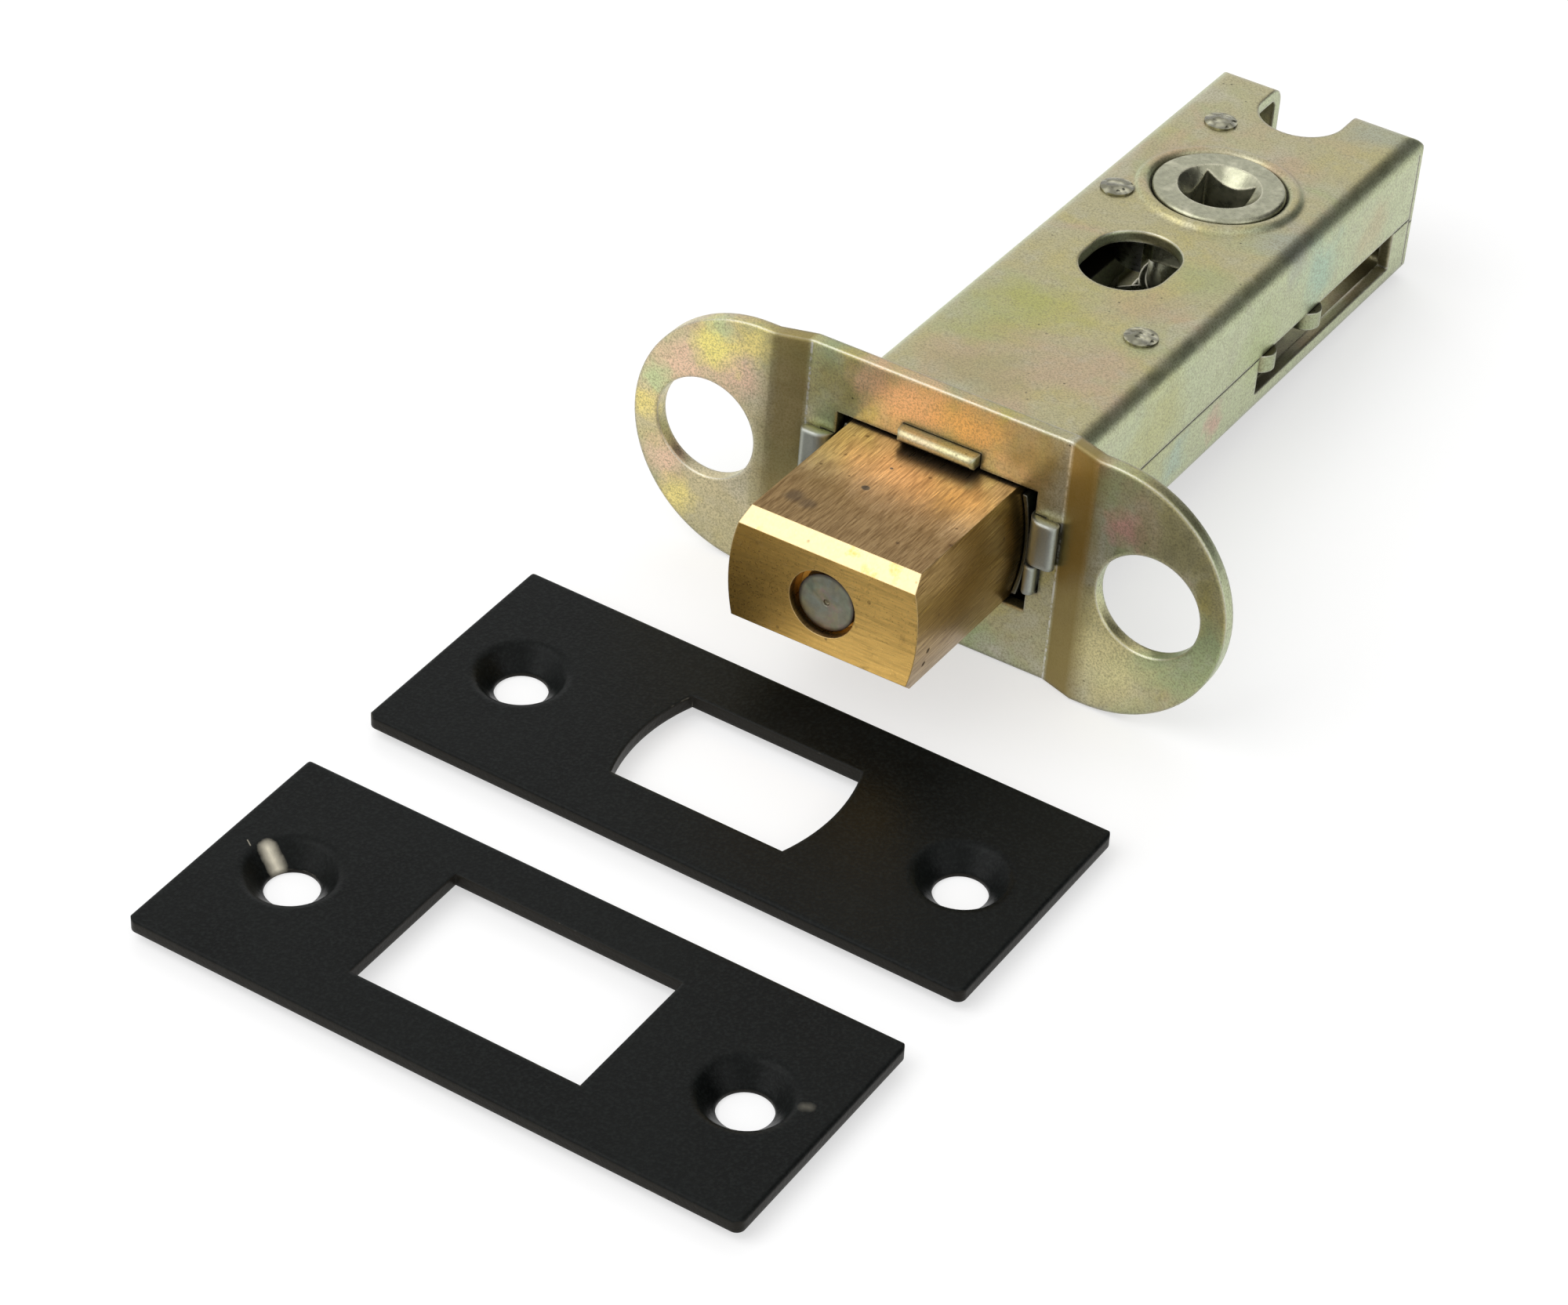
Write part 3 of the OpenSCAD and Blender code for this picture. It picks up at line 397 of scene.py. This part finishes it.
def spot(name):
    """One mark at a place on the piece: round, or drawn out to both sides by its run."""
    n, given, result = new_group(
        name, {"Centre": (0.0, 0.0, 0.0), "Run": (0.0, 0.0, 0.0), "Radius": 0.001,
               "Softness": 0.5, "Ragged": 0.3}, {"Mask": "Float"})
    offset = n.vector("SUBTRACT", n.here(), given["Centre"])
    length_squared = n.maths("ADD", n.vector("DOT_PRODUCT", given["Run"], given["Run"], "Value"),
                             NEVER_ZERO)
    share_of_run = n.maths("DIVIDE", n.vector("DOT_PRODUCT", offset, given["Run"], "Value"),
                           length_squared)
    nearest = n.add("ShaderNodeVectorMath", operation="SCALE",
                    inputs={"Vector": given["Run"],
                            "Scale": n.spread(share_of_run, -1.0, 1.0, -1.0, 1.0)})
    away = n.vector("DISTANCE", offset, nearest.outputs["Vector"], "Value")
    uneven = n.noise(n.here(), n.maths("DIVIDE", 1.5, given["Radius"]), 3.0)
    uneven = n.times(n.maths("SUBTRACT", uneven, 0.5), n.times(given["Ragged"], given["Radius"]))
    inner = n.times(given["Radius"], n.maths("SUBTRACT", 1.0, given["Softness"]))
    n.feed(result["Mask"], n.spread(n.maths("ADD", away, uneven), given["Radius"], inner))
    return n.tree


def specks(name):
    """Scattered small pits."""
    n, given, result = new_group(name, {"Scale": 900.0, "Size": 0.2, "Rarity": 0.6},
                                 {"Mask": "Float"})
    cells = n.add("ShaderNodeTexVoronoi", inputs={"Vector": n.here(), "Scale": given["Scale"]})
    dot = n.spread(cells.outputs["Distance"], given["Size"], n.times(given["Size"], 0.5))
    lottery = n.add("ShaderNodeSeparateColor", inputs={"Color": cells.outputs["Color"]})
    chosen = n.maths("GREATER_THAN", lottery.outputs[0], given["Rarity"])
    n.feed(result["Mask"], n.times(dot, chosen))
    return n.tree


def painted_shade(name):
    """Painted shade: a mask that darkens corners, and the inside of hollow pieces, where little
    light reaches.
    """
    n, given, result = new_group(name, {"Reach": 0.001, "Open": 0.75, "Closed": 0.2},
                                 {"Mask": "Float"})
    open_sky = n.add("ShaderNodeAmbientOcclusion", samples=RAYS,
                     inputs={"Distance": given["Reach"]})
    n.feed(result["Mask"], n.spread(open_sky.outputs["AO"], given["Open"], given["Closed"]))
    return n.tree


EFFECTS = {"edge wear and highlight": edge_wear_and_highlight, "film": film, "grain": grain, "brushed": brushed,
           "spot": spot, "specks": specks, "painted_shade": painted_shade}


def new_material(name, metallic=1.0):
    """An empty material with its Principled shader, and the helper for its tree."""
    material = bpy.data.materials.new(name)
    material.use_nodes = True
    shader = material.node_tree.nodes["Principled BSDF"]
    shader.inputs["Metallic"].default_value = metallic
    return material, shader.inputs, Nodes(material.node_tree)


def finish_nodes(names, material):
    """Gives CAD nodes a material without touching their meshes."""
    for name in names:
        for slot in NODES[name].material_slots:
            slot.material = material


def plated_sheet(name, s, shift, strength, tone, patches=(), rounding=0.00018, inside=0.0):
    """Zinc-plated sheet with its passivate film, worn edges, dirt in its pits, and painted shade
    in its corners and, as far as inside says, in its hollows.
    """
    material, shader, n = new_material(name, 0.88)
    colours = {key: rgba(getattr(s, key), tone)
               for key in ("base", "pale", "rose", "gold", "leaf")}
    tint = n.effect("film", size=s.bloom, shift=shift, strength=strength, **colours)["Color"]
    sideways = n.maths("ABSOLUTE", n.facing("X"))
    tint = n.mix(n.spread(sideways, 0.30, 0.80, 0.0, 0.85), tint, rgba(s.flank, tone))
    cloudy = n.noise(n.here(), 420.0, 5.0, 0.65)
    tint = n.mix(n.spread(cloudy, 0.50, 0.72, 0.0, 0.40), tint, rgba(s.pale, tone))
    # Film blooms, and on the forend also painted reflections and darker patches.
    for centre, radius, shade, amount in patches:
        patch = n.effect("spot", centre=centre, radius=radius, softness=0.75, ragged=1.5)["Mask"]
        tint = n.cover(tint, shade, patch, amount)
    fine = n.effect("grain", scale=5600.0, depth=0.000011, rounding=rounding)
    tint = n.mix(n.spread(fine["Value"], 0.42, 0.68, 0.0, 0.64), tint, rgba(s.base, 0.40 * tone))
    pits = n.effect("specks", scale=1500.0, size=0.22, rarity=0.90)["Mask"]
    tint = n.cover(tint, DIRT_AND_SHADE, n.times(pits, n.spread(cloudy, 0.55, 0.40)), 0.8)
    # Painted shade: darkened in corners, and with the longer reach inside hollow pieces as far as
    # inside says.
    tint = n.cover(tint, DIRT_AND_SHADE, n.effect("painted_shade", reach=0.0011)["Mask"], 0.80)
    tint = n.cover(tint, DIRT_AND_SHADE, n.effect("painted_shade", reach=0.012, open=0.60, closed=0.25)["Mask"],
                   inside)
    worn = n.effect("edge wear and highlight", width=s.wear, breakup=1600.0, ragged=0.12)["Mask"]
    n.feed(shader["Base Color"], n.mix(n.times(worn, 0.6), tint, rgba(s.worn, tone)))
    rough = n.spread(cloudy, 0.3, 0.7, s.roughness - 0.06, s.roughness + 0.08)
    n.feed(shader["Roughness"], n.maths("SUBTRACT", rough, n.times(worn, 0.08)))
    n.feed(shader["Normal"], fine["Normal"])
    return material, shader["Base Color"], n


def overlay(n, socket, shade, mask):
    """Lays one more colour over what already feeds a socket."""
    under = socket.links[0].from_socket
    n.feed(socket, n.mix(mask, under, rgba(shade)))


class DEADBOLT_OT_steel(bpy.types.Operator):
    """Yellow-passivated zinc plating on the case, forend, guide and slider"""
    bl_idname = "deadbolt.steel"
    bl_label = "Plated sheet steel"

    def execute(self, context):
        s = context.scene.deadbolt_passivate
        finish_nodes(CASE, self.case(s))
        finish_nodes(("forend",), self.forend(s))
        # The slider, darkened with painted shade inside the case.
        slider, *_ = plated_sheet("slider_passivate", s, (0.4, 0.3, 0.1), 0.5, 0.9, inside=0.95)
        finish_nodes(("slider",), slider)
        # The guide: a dark copy of the plating, painted shade deep in the forend's slot.
        guide, *_ = plated_sheet("guide_passivate", s, (0.1, 0.3, 0.4), 0.5, 0.28)
        finish_nodes(("bolt_guide",), guide)
        return {"FINISHED"}

    def case(self, s):
        """Both halves, whose side tabs are worn to a blue-grey in front of the forend."""
        # Painted shade inside the case's hollows.
        material, tint, n = plated_sheet("case_passivate", s, (0.0, 0.0, 0.0), 0.45, 1.18,
                                         CASE_PATCHES, rounding=0.0006, inside=0.85)
        place = n.split_place()
        tabs = n.times(n.spread(place["Y"], *TAB_FRONT), n.spread(n.off_middle(place), *TAB_SIDE))
        overlay(n, tint, s.folded, n.times(tabs, 0.75))
        return material

    def forend(self, s):
        """The forend, with painted shade in the two steps of its recess and rubbed along their
        creases.
        """
        material, tint, n = plated_sheet("forend_passivate", s, (0.2, 0.1, 0.0), 0.8, 1.10,
                                         FOREND_FILM_AND_PAINTED_LIGHT, rounding=0.0006)
        place = n.split_place()
        off_middle = n.off_middle(place)
        # Painted shade in the two steps, stronger on the right side.
        steps = n.times(n.spread(off_middle, *STEP_INNER), n.spread(off_middle, *STEP_OUTER))
        amount = n.spread(place["X"], *LEFT_TO_RIGHT, 0.66, 0.90)
        overlay(n, tint, s.shaded, n.times(steps, amount))
        off_crease = n.maths("ABSOLUTE", n.maths("SUBTRACT", off_middle, CREASE_X))
        line = n.times(n.spread(off_crease, *CREASE_LINE), n.spread(n.facing("Y"), -0.6, -0.8))
        broken = n.spread(n.noise(n.here(), 2200.0), 0.42, 0.56)
        overlay(n, tint, s.worn, n.times(line, broken))
        return material


class DEADBOLT_OT_pins(bpy.types.Operator):
    """Plated pins, peened rivet heads, spring and cast follower"""
    bl_idname = "deadbolt.pins"
    bl_label = "Pins, spring and follower"

    def execute(self, context):
        s = context.scene.deadbolt_pins
        finish_nodes(("follower",), self.cast(s))
        finish_nodes(RIVETS, self.peened(s))
        finish_nodes(("anti_saw_pin",), self.hardened(s))
        finish_nodes(("detent_spring",), self.sprung(s))
        return {"FINISHED"}

    def cast(self, s):
        """The follower: grainy, cloudy and worn, with a painted highlight on its rubbed edges,
        and painted shade in its corners and where its lever is inside the case.
        """
        material, shader, n = new_material("plated_casting", 0.9)
        skin = n.effect("grain", scale=1800.0, depth=0.000025, rounding=0.00035)
        cloudy = n.noise(n.here(), 520.0, 4.0, 0.6)
        tint = n.mix(n.spread(skin["Value"], 0.3, 0.7), rgba(s.cast, 0.70), rgba(s.cast))
        tint = n.mix(n.spread(cloudy, 0.50, 0.70, 0.0, 0.35), tint, rgba(s.bright))
        # Painted shade in the follower's corners.
        tint = n.cover(tint, DIRT_AND_SHADE, n.effect("painted_shade", reach=0.0022)["Mask"], 0.8)
        # Rubbed edges, near white as a painted highlight of the rounded rim.
        worn = n.effect("edge wear and highlight", width=0.0005, breakup=600.0, ragged=0.15)["Mask"]
        tint = n.mix(worn, tint, rgba(s.bright))
        # Painted shade on the lever where it lies inside the case.
        lever = n.spread(n.split_place()["Y"], *LEVER_FRONT)
        n.feed(shader["Base Color"], n.cover(tint, DIRT_AND_SHADE, lever, 0.85))
        n.feed(shader["Roughness"], n.spread(cloudy, 0.35, 0.65, 0.20, 0.36))
        n.feed(shader["Normal"], skin["Normal"])
        return material

    def peened(self, s):
        """Pins and rivets, dented where their heads were hammered over."""
        material, shader, n = new_material("peened_rivet", 0.95)
        dents = n.add("ShaderNodeTexVoronoi", feature="SMOOTH_F1",
                      inputs={"Vector": n.here(), "Scale": 1150.0, "Smoothness": 0.35})
        relief = n.add("ShaderNodeBump", inputs={"Height": dents.outputs["Distance"],
                                                 "Distance": 0.00035})
        n.feed(shader["Base Color"], n.mix(n.spread(dents.outputs["Distance"], 0.1, 0.6),
                                           rgba(s.rivet), rgba(s.rivet, 0.35)))
        shader["Roughness"].default_value = 0.26
        n.feed(shader["Normal"], relief.outputs["Normal"])
        return material

    def hardened(self, s):
        """The pin in the bolt, with faint blooms and a dark ring round its end."""
        material, shader, n = new_material("hardened_pin", 0.9)
        skin = n.effect("grain", scale=1400.0, depth=0.00002, rounding=0.0002)
        tint = n.effect("film", size=0.0022, strength=1.0, shift=(0.5, 0.2, 0.1),
                        base=rgba(s.pin), pale=rgba(s.pin_pale), rose=rgba(s.pin_rose),
                        gold=rgba(s.pin_gold), leaf=rgba(s.pin_leaf))["Color"]
        tint = n.mix(n.spread(skin["Value"], 0.35, 0.7, 0.5, 0.0), tint, rgba(s.pin, 0.5))
        inner = n.effect("spot", centre=PIN_FACE, radius=PIN_RING_RADIUS, softness=0.12,
                         ragged=0.12)["Mask"]
        n.feed(shader["Base Color"], n.mix(inner, rgba(s.pin_ring), tint))
        n.feed(shader["Roughness"], n.spread(skin["Value"], 0.3, 0.7, 0.34, 0.5))
        n.feed(shader["Normal"], skin["Normal"])
        return material

    def sprung(self, s):
        """The leaf spring's rolled strip."""
        material, shader, n = new_material("spring_strip", 1.0)
        lines = n.effect("brushed", stretch=(0.2, 0.2, 1.0), scale=3000.0)
        n.feed(shader["Base Color"], n.mix(lines["Value"], rgba(s.spring, 0.7),
                                           rgba(s.spring, 1.4)))
        n.feed(shader["Roughness"], n.spread(lines["Value"], 0.3, 0.7, 0.22, 0.38))
        n.feed(shader["Normal"], lines["Normal"])
        return material


class DEADBOLT_OT_brass(bpy.types.Operator):
    """Drawn and milled brass of the bolt"""
    bl_idname = "deadbolt.brass"
    bl_label = "Brass bolt"

    def execute(self, context):
        s = context.scene.deadbolt_brass
        material, shader, n = new_material("bolt_brass", 1.0)
        place = n.split_place()
        ahead = n.times(n.facing("Y"), -1.0)
        is_face = n.spread(ahead, 0.80, 0.92)
        is_cut = n.spread(ahead, 0.35, 0.5)
        along = n.effect("brushed", stretch=(1.0, 0.05, 1.0), scale=6000.0, depth=0.000013,
                         rounding=0.00012)
        across = n.effect("brushed", stretch=(0.06, 1.0, 0.9), scale=4200.0, depth=0.000014,
                          rounding=0.00012)
        cloud = n.noise(n.vector("MULTIPLY", n.here(), (1.0, 0.45, 1.0)), 230.0, 5.0, 0.6, 0.4)
        stains = n.noise(n.here(), 420.0, 4.0, 0.65)
        face = self.milled(n, s, place, cloud, stains, across["Value"])
        cut = n.mix(is_face, self.chamfer(n, s, stains), face)
        tint = n.mix(is_cut, self.drawn(n, s, place, cloud, along["Value"]), cut)
        nicks = n.effect("specks", scale=1050.0, size=0.24, rarity=0.88)["Mask"]
        nicks = n.times(nicks, n.spread(stains, 0.35, 0.55))
        tint = n.cover(tint, s.stain, nicks, 0.8)
        pits = 0.0
        for centre, radius, softness, strength in MARKS:
            mark = n.effect("spot", centre=centre, radius=radius, softness=softness,
                            ragged=0.4)["Mask"]
            mark = n.times(mark, strength)
            tint = n.mix(mark, tint, rgba(s.pit))
            pits = n.maths("MAXIMUM", mark, pits)
        n.feed(shader["Metallic"], n.maths("SUBTRACT", 1.0, pits))
        worn = n.effect("edge wear and highlight", width=0.0003, breakup=900.0, ragged=0.25)["Mask"]
        tint = n.cover(tint, s.chamfer, worn, 0.45)
        pin_hole = n.effect("spot", centre=PIN_HOLE, radius=PIN_HOLE_RADIUS, softness=0.03,
                            ragged=0.0)["Mask"]
        tint = n.mix(pin_hole, tint, rgba(s.milled))
        # Painted shade: the bolt's corners are darkened, except in the pin's hole.
        painted_shade = n.times(n.effect("painted_shade", reach=0.0010)["Mask"],
                        n.maths("SUBTRACT", 1.0, pin_hole))
        n.feed(shader["Base Color"], n.cover(tint, DIRT_AND_SHADE, painted_shade, 0.7))
        rough = n.spread(along["Value"], 0.3, 0.7, s.roughness - 0.05, s.roughness + 0.1)
        n.feed(shader["Roughness"], n.maths("ADD", rough, n.times(pits, 0.7)))
        n.feed(shader["Normal"], n.mix(is_cut, along["Normal"], across["Normal"]))
        finish_nodes(("bolt",), material)
        return {"FINISHED"}

    def drawn(self, n, s, place, cloud, lines):
        """The long sides: olive on the bulges, and tarnished towards the end."""
        sideways = n.maths("ABSOLUTE", n.facing("X"))
        tint = n.mix(n.spread(cloud, 0.40, 0.68, 0.0, 0.8), rgba(s.drawn), rgba(s.flecked))
        tint = n.mix(n.spread(sideways, 0.5, 0.8, 0.0, 0.7), tint, rgba(s.flank))
        near_end = n.spread(n.maths("ADD", place["Y"], n.times(cloud, 0.010)), *TARNISH_Y)
        near_end = n.times(near_end, n.spread(sideways, 0.5, 0.8, 0.85, 0.6))
        tint = n.mix(near_end, tint, rgba(s.tarnish))
        return n.mix(n.spread(lines, 0.38, 0.66), tint, rgba(s.groove), blend="MULTIPLY")

    def milled(self, n, s, place, cloud, stains, lines):
        """The end face, dulled towards one side."""
        dulled = n.spread(n.maths("ADD", place["X"], n.times(cloud, 0.006)), *DULLED_X)
        tint = n.mix(dulled, rgba(s.milled), rgba(s.dulled))
        tint = n.mix(n.spread(lines, 0.42, 0.70, 0.0, 0.55), tint, rgba(s.milled, 0.45))
        return n.mix(n.spread(stains, 0.60, 0.72, 0.0, 0.55), tint, rgba(s.stain))

    def chamfer(self, n, s, stains):
        """The freshly cut chamfers."""
        return n.mix(n.spread(stains, 0.54, 0.66, 0.0, 0.8), rgba(s.chamfer), rgba(s.dulled))


class DEADBOLT_OT_coat(bpy.types.Operator):
    """Black coat on both plates, chipped along its edges"""
    bl_idname = "deadbolt.coat"
    bl_label = "Black plates"

    def execute(self, context):
        s = context.scene.deadbolt_coat
        material, shader, n = new_material("black_coat", 0.0)
        skin = n.effect("grain", scale=3200.0, depth=0.000040, rounding=0.00045)
        cloud = n.noise(n.here(), 70.0, 4.0, 0.6)
        black = n.mix(n.spread(cloud, 0.35, 0.7), rgba(s.black), rgba(s.black, 1.9))
        black = n.mix(n.spread(skin["Value"], 0.46, 0.66), black, rgba(s.black, 3.4))
        # Bare steel on chipped edges and rubbed streaks, near white and barely metallic as a
        # painted highlight.
        bare_and_glint = n.effect("edge wear and highlight", width=s.wear, breakup=520.0, ragged=0.1)["Mask"]
        chips = n.noise(n.here(), 330.0, 3.0, 0.6)
        bare_and_glint = n.times(bare_and_glint, n.spread(chips, 0.60, 0.68, 0.0, 0.35))
        for centre, run, radius, softness, strength in RUBBED:
            rubbed = n.effect("spot", centre=centre, run=run, radius=radius, softness=softness,
                              ragged=0.35)["Mask"]
            bare_and_glint = n.maths("MAXIMUM", bare_and_glint, n.times(rubbed, strength))
        # Painted highlight: a lighter grey laid along the rims.
        rim_highlight = n.effect("edge wear and highlight", width=0.0005, breakup=900.0, ragged=0.1)["Mask"]
        black = n.cover(black, s.rim_highlight, rim_highlight, 0.7)
        # Upright cut faces take the brownish cut colour, lightened as painted light bounced from
        # the table.
        upright = n.spread(n.maths("ABSOLUTE", n.facing("Z")), 0.45, 0.15)
        black = n.cover(black, s.cut, upright, 0.7)
        n.feed(shader["Base Color"], n.mix(bare_and_glint, black, rgba(s.bare_and_glint)))
        n.feed(shader["Metallic"], n.times(bare_and_glint, 0.25))
        n.feed(shader["Roughness"],
               n.spread(cloud, 0.3, 0.7, s.roughness - 0.06, s.roughness + 0.08))
        shader["Specular IOR Level"].default_value = 0.095
        n.feed(shader["Normal"], skin["Normal"])
        finish_nodes(PLATES, material)
        return {"FINISHED"}


class DEADBOLT_OT_stage(bpy.types.Operator):
    """Pale table, soft lamps and the camera at the photograph's angle"""
    bl_idname = "deadbolt.stage"
    bl_label = "Table, lamps and camera"

    def execute(self, context):
        s = context.scene.deadbolt_stage
        self.table(s)
        self.dark_card()
        self.camera(context)
        self.lamps(context)
        self.backdrop(context, s.world)
        return {"FINISHED"}

    def plane(self, name, size, centre, towards):
        """A flat board with its place in its mesh."""
        bpy.ops.object.select_all(action="DESELECT")
        turn = Vector(towards).to_track_quat("Z", "Y").to_euler()
        bpy.ops.mesh.primitive_plane_add(size=size, location=centre, rotation=turn)
        board = bpy.context.object
        board.name = name
        bpy.ops.object.transform_apply(location=True, rotation=True)
        return board

    def table(self, s):
        """The pale table, white where the camera and reflections see it."""
        table = self.plane("table", TABLE_SIZE, (0.0, 0.0, TABLE_HEIGHT), (0.0, 0.0, 1.0))
        material, shader, n = new_material("white_table", 0.0)
        shader["Base Color"].default_value = rgba(s.floor)
        shader["Roughness"].default_value = 0.9
        shader["Specular IOR Level"].default_value = 0.1
        shader["Emission Color"].default_value = rgba(WHITE)
        n.feed(shader["Emission Strength"], n.times(seen_directly(n), s.glow))
        table.data.materials.append(material)

    def dark_card(self):
        """A dark card beside the lamps, which only the reflections show."""
        card = self.plane("dark_card", CARD_SIZE, CARD_PLACE, -CARD_PLACE)
        material, shader, _ = new_material("dark_card", 0.0)
        shader["Base Color"].default_value = rgba(CARD_SHADE)
        shader["Roughness"].default_value = 1.0
        shader["Specular IOR Level"].default_value = 0.0
        card.data.materials.append(material)
        card.visible_camera = False
        card.visible_diffuse = False
        card.visible_shadow = False

    def camera(self, context):
        """The camera, turned to the photograph's angle."""
        ahead = Vector((-sin(YAW) * cos(PITCH), cos(YAW) * cos(PITCH), -sin(PITCH)))
        level = Vector((cos(YAW), sin(YAW), 0.0))
        upright = level.cross(ahead)
        right = level * cos(ROLL) + upright * sin(ROLL)
        up = upright * cos(ROLL) - level * sin(ROLL)
        data = bpy.data.cameras.new("camera")
        data.lens, data.sensor_width, data.shift_x = LENS, SENSOR_WIDTH, SHIFT_X
        data.clip_start, data.clip_end = NEAREST, FARTHEST
        camera = bpy.data.objects.new("camera", data)
        turn = Matrix((right, up, -ahead)).transposed().to_4x4()
        camera.matrix_world = Matrix.Translation(AIM - ahead * AIM_DISTANCE) @ turn
        context.scene.collection.objects.link(camera)
        context.scene.camera = camera

    def lamps(self, context):
        """Square lamps that all point at the middle of the table."""
        for name, towards, away, size, watts, mirrored in LAMPS:
            data = bpy.data.lights.new(name, "AREA")
            data.size, data.energy = size, watts
            lamp = bpy.data.objects.new(name, data)
            toward = Vector(towards).normalized()
            lamp.location = toward * away
            lamp.rotation_mode = "QUATERNION"
            lamp.rotation_quaternion = toward.to_track_quat("Z", "Y")
            lamp.visible_glossy = mirrored
            context.scene.collection.objects.link(lamp)

    def backdrop(self, context, strength):
        """Plain light from all round, which the camera and reflections see as white."""
        world = bpy.data.worlds.new("surround")
        context.scene.world = world
        world.use_nodes = True
        background = world.node_tree.nodes["Background"]
        n = Nodes(world.node_tree)
        background.inputs["Color"].default_value = rgba(WHITE)
        n.feed(background.inputs["Strength"],
               n.spread(seen_directly(n), 0.0, 1.0, strength, 1.0))
        context.scene.view_settings.view_transform = "Standard"


def seen_directly(n):
    """One for camera rays, reflections and light through glass, and nought for the rest."""
    rays = n.add("ShaderNodeLightPath").outputs
    seen = n.maths("MAXIMUM", rays["Is Camera Ray"], rays["Is Glossy Ray"])
    return n.maths("MAXIMUM", seen, rays["Is Transmission Ray"])


class DEADBOLT_PT_panel(bpy.types.Panel):
    """Lists the deadbolt's finishes and its stage"""
    bl_idname = "DEADBOLT_PT_panel"
    bl_label = "Tubular deadbolt"
    bl_space_type = "VIEW_3D"
    bl_region_type = "UI"
    bl_category = "Deadbolt"

    def draw(self, context):
        for group, operators in STEPS:
            box = self.layout.box()
            settings = getattr(context.scene, group)
            for name in settings.bl_rna.properties.keys():
                if name not in {"rna_type", "name"}:
                    box.prop(settings, name)
            for operator in operators:
                box.operator(operator.bl_idname)


GROUPS = {
    "deadbolt_passivate": PassivateSettings,
    "deadbolt_pins": PinSettings,
    "deadbolt_brass": BrassSettings,
    "deadbolt_coat": CoatSettings,
    "deadbolt_stage": StageSettings,
}
STEPS = (
    ("deadbolt_passivate", (DEADBOLT_OT_steel,)),
    ("deadbolt_pins", (DEADBOLT_OT_pins,)),
    ("deadbolt_brass", (DEADBOLT_OT_brass,)),
    ("deadbolt_coat", (DEADBOLT_OT_coat,)),
    ("deadbolt_stage", (DEADBOLT_OT_stage,)),
)
OPERATORS = tuple(operator for _, operators in STEPS for operator in operators)


def register():
    for cls in (*GROUPS.values(), *OPERATORS, DEADBOLT_PT_panel):
        bpy.utils.register_class(cls)
    for name, cls in GROUPS.items():
        setattr(bpy.types.Scene, name, bpy.props.PointerProperty(type=cls))


def unregister():
    for name in GROUPS:
        delattr(bpy.types.Scene, name)
    for cls in (DEADBOLT_PT_panel, *reversed(OPERATORS), *GROUPS.values()):
        bpy.utils.unregister_class(cls)


def main():
    register()
    bpy.ops.object.select_all(action="DESELECT")
    for operator in OPERATORS:
        family, name = operator.bl_idname.split(".")
        getattr(getattr(bpy.ops, family), name)()


if __name__ == "__main__":
    main()
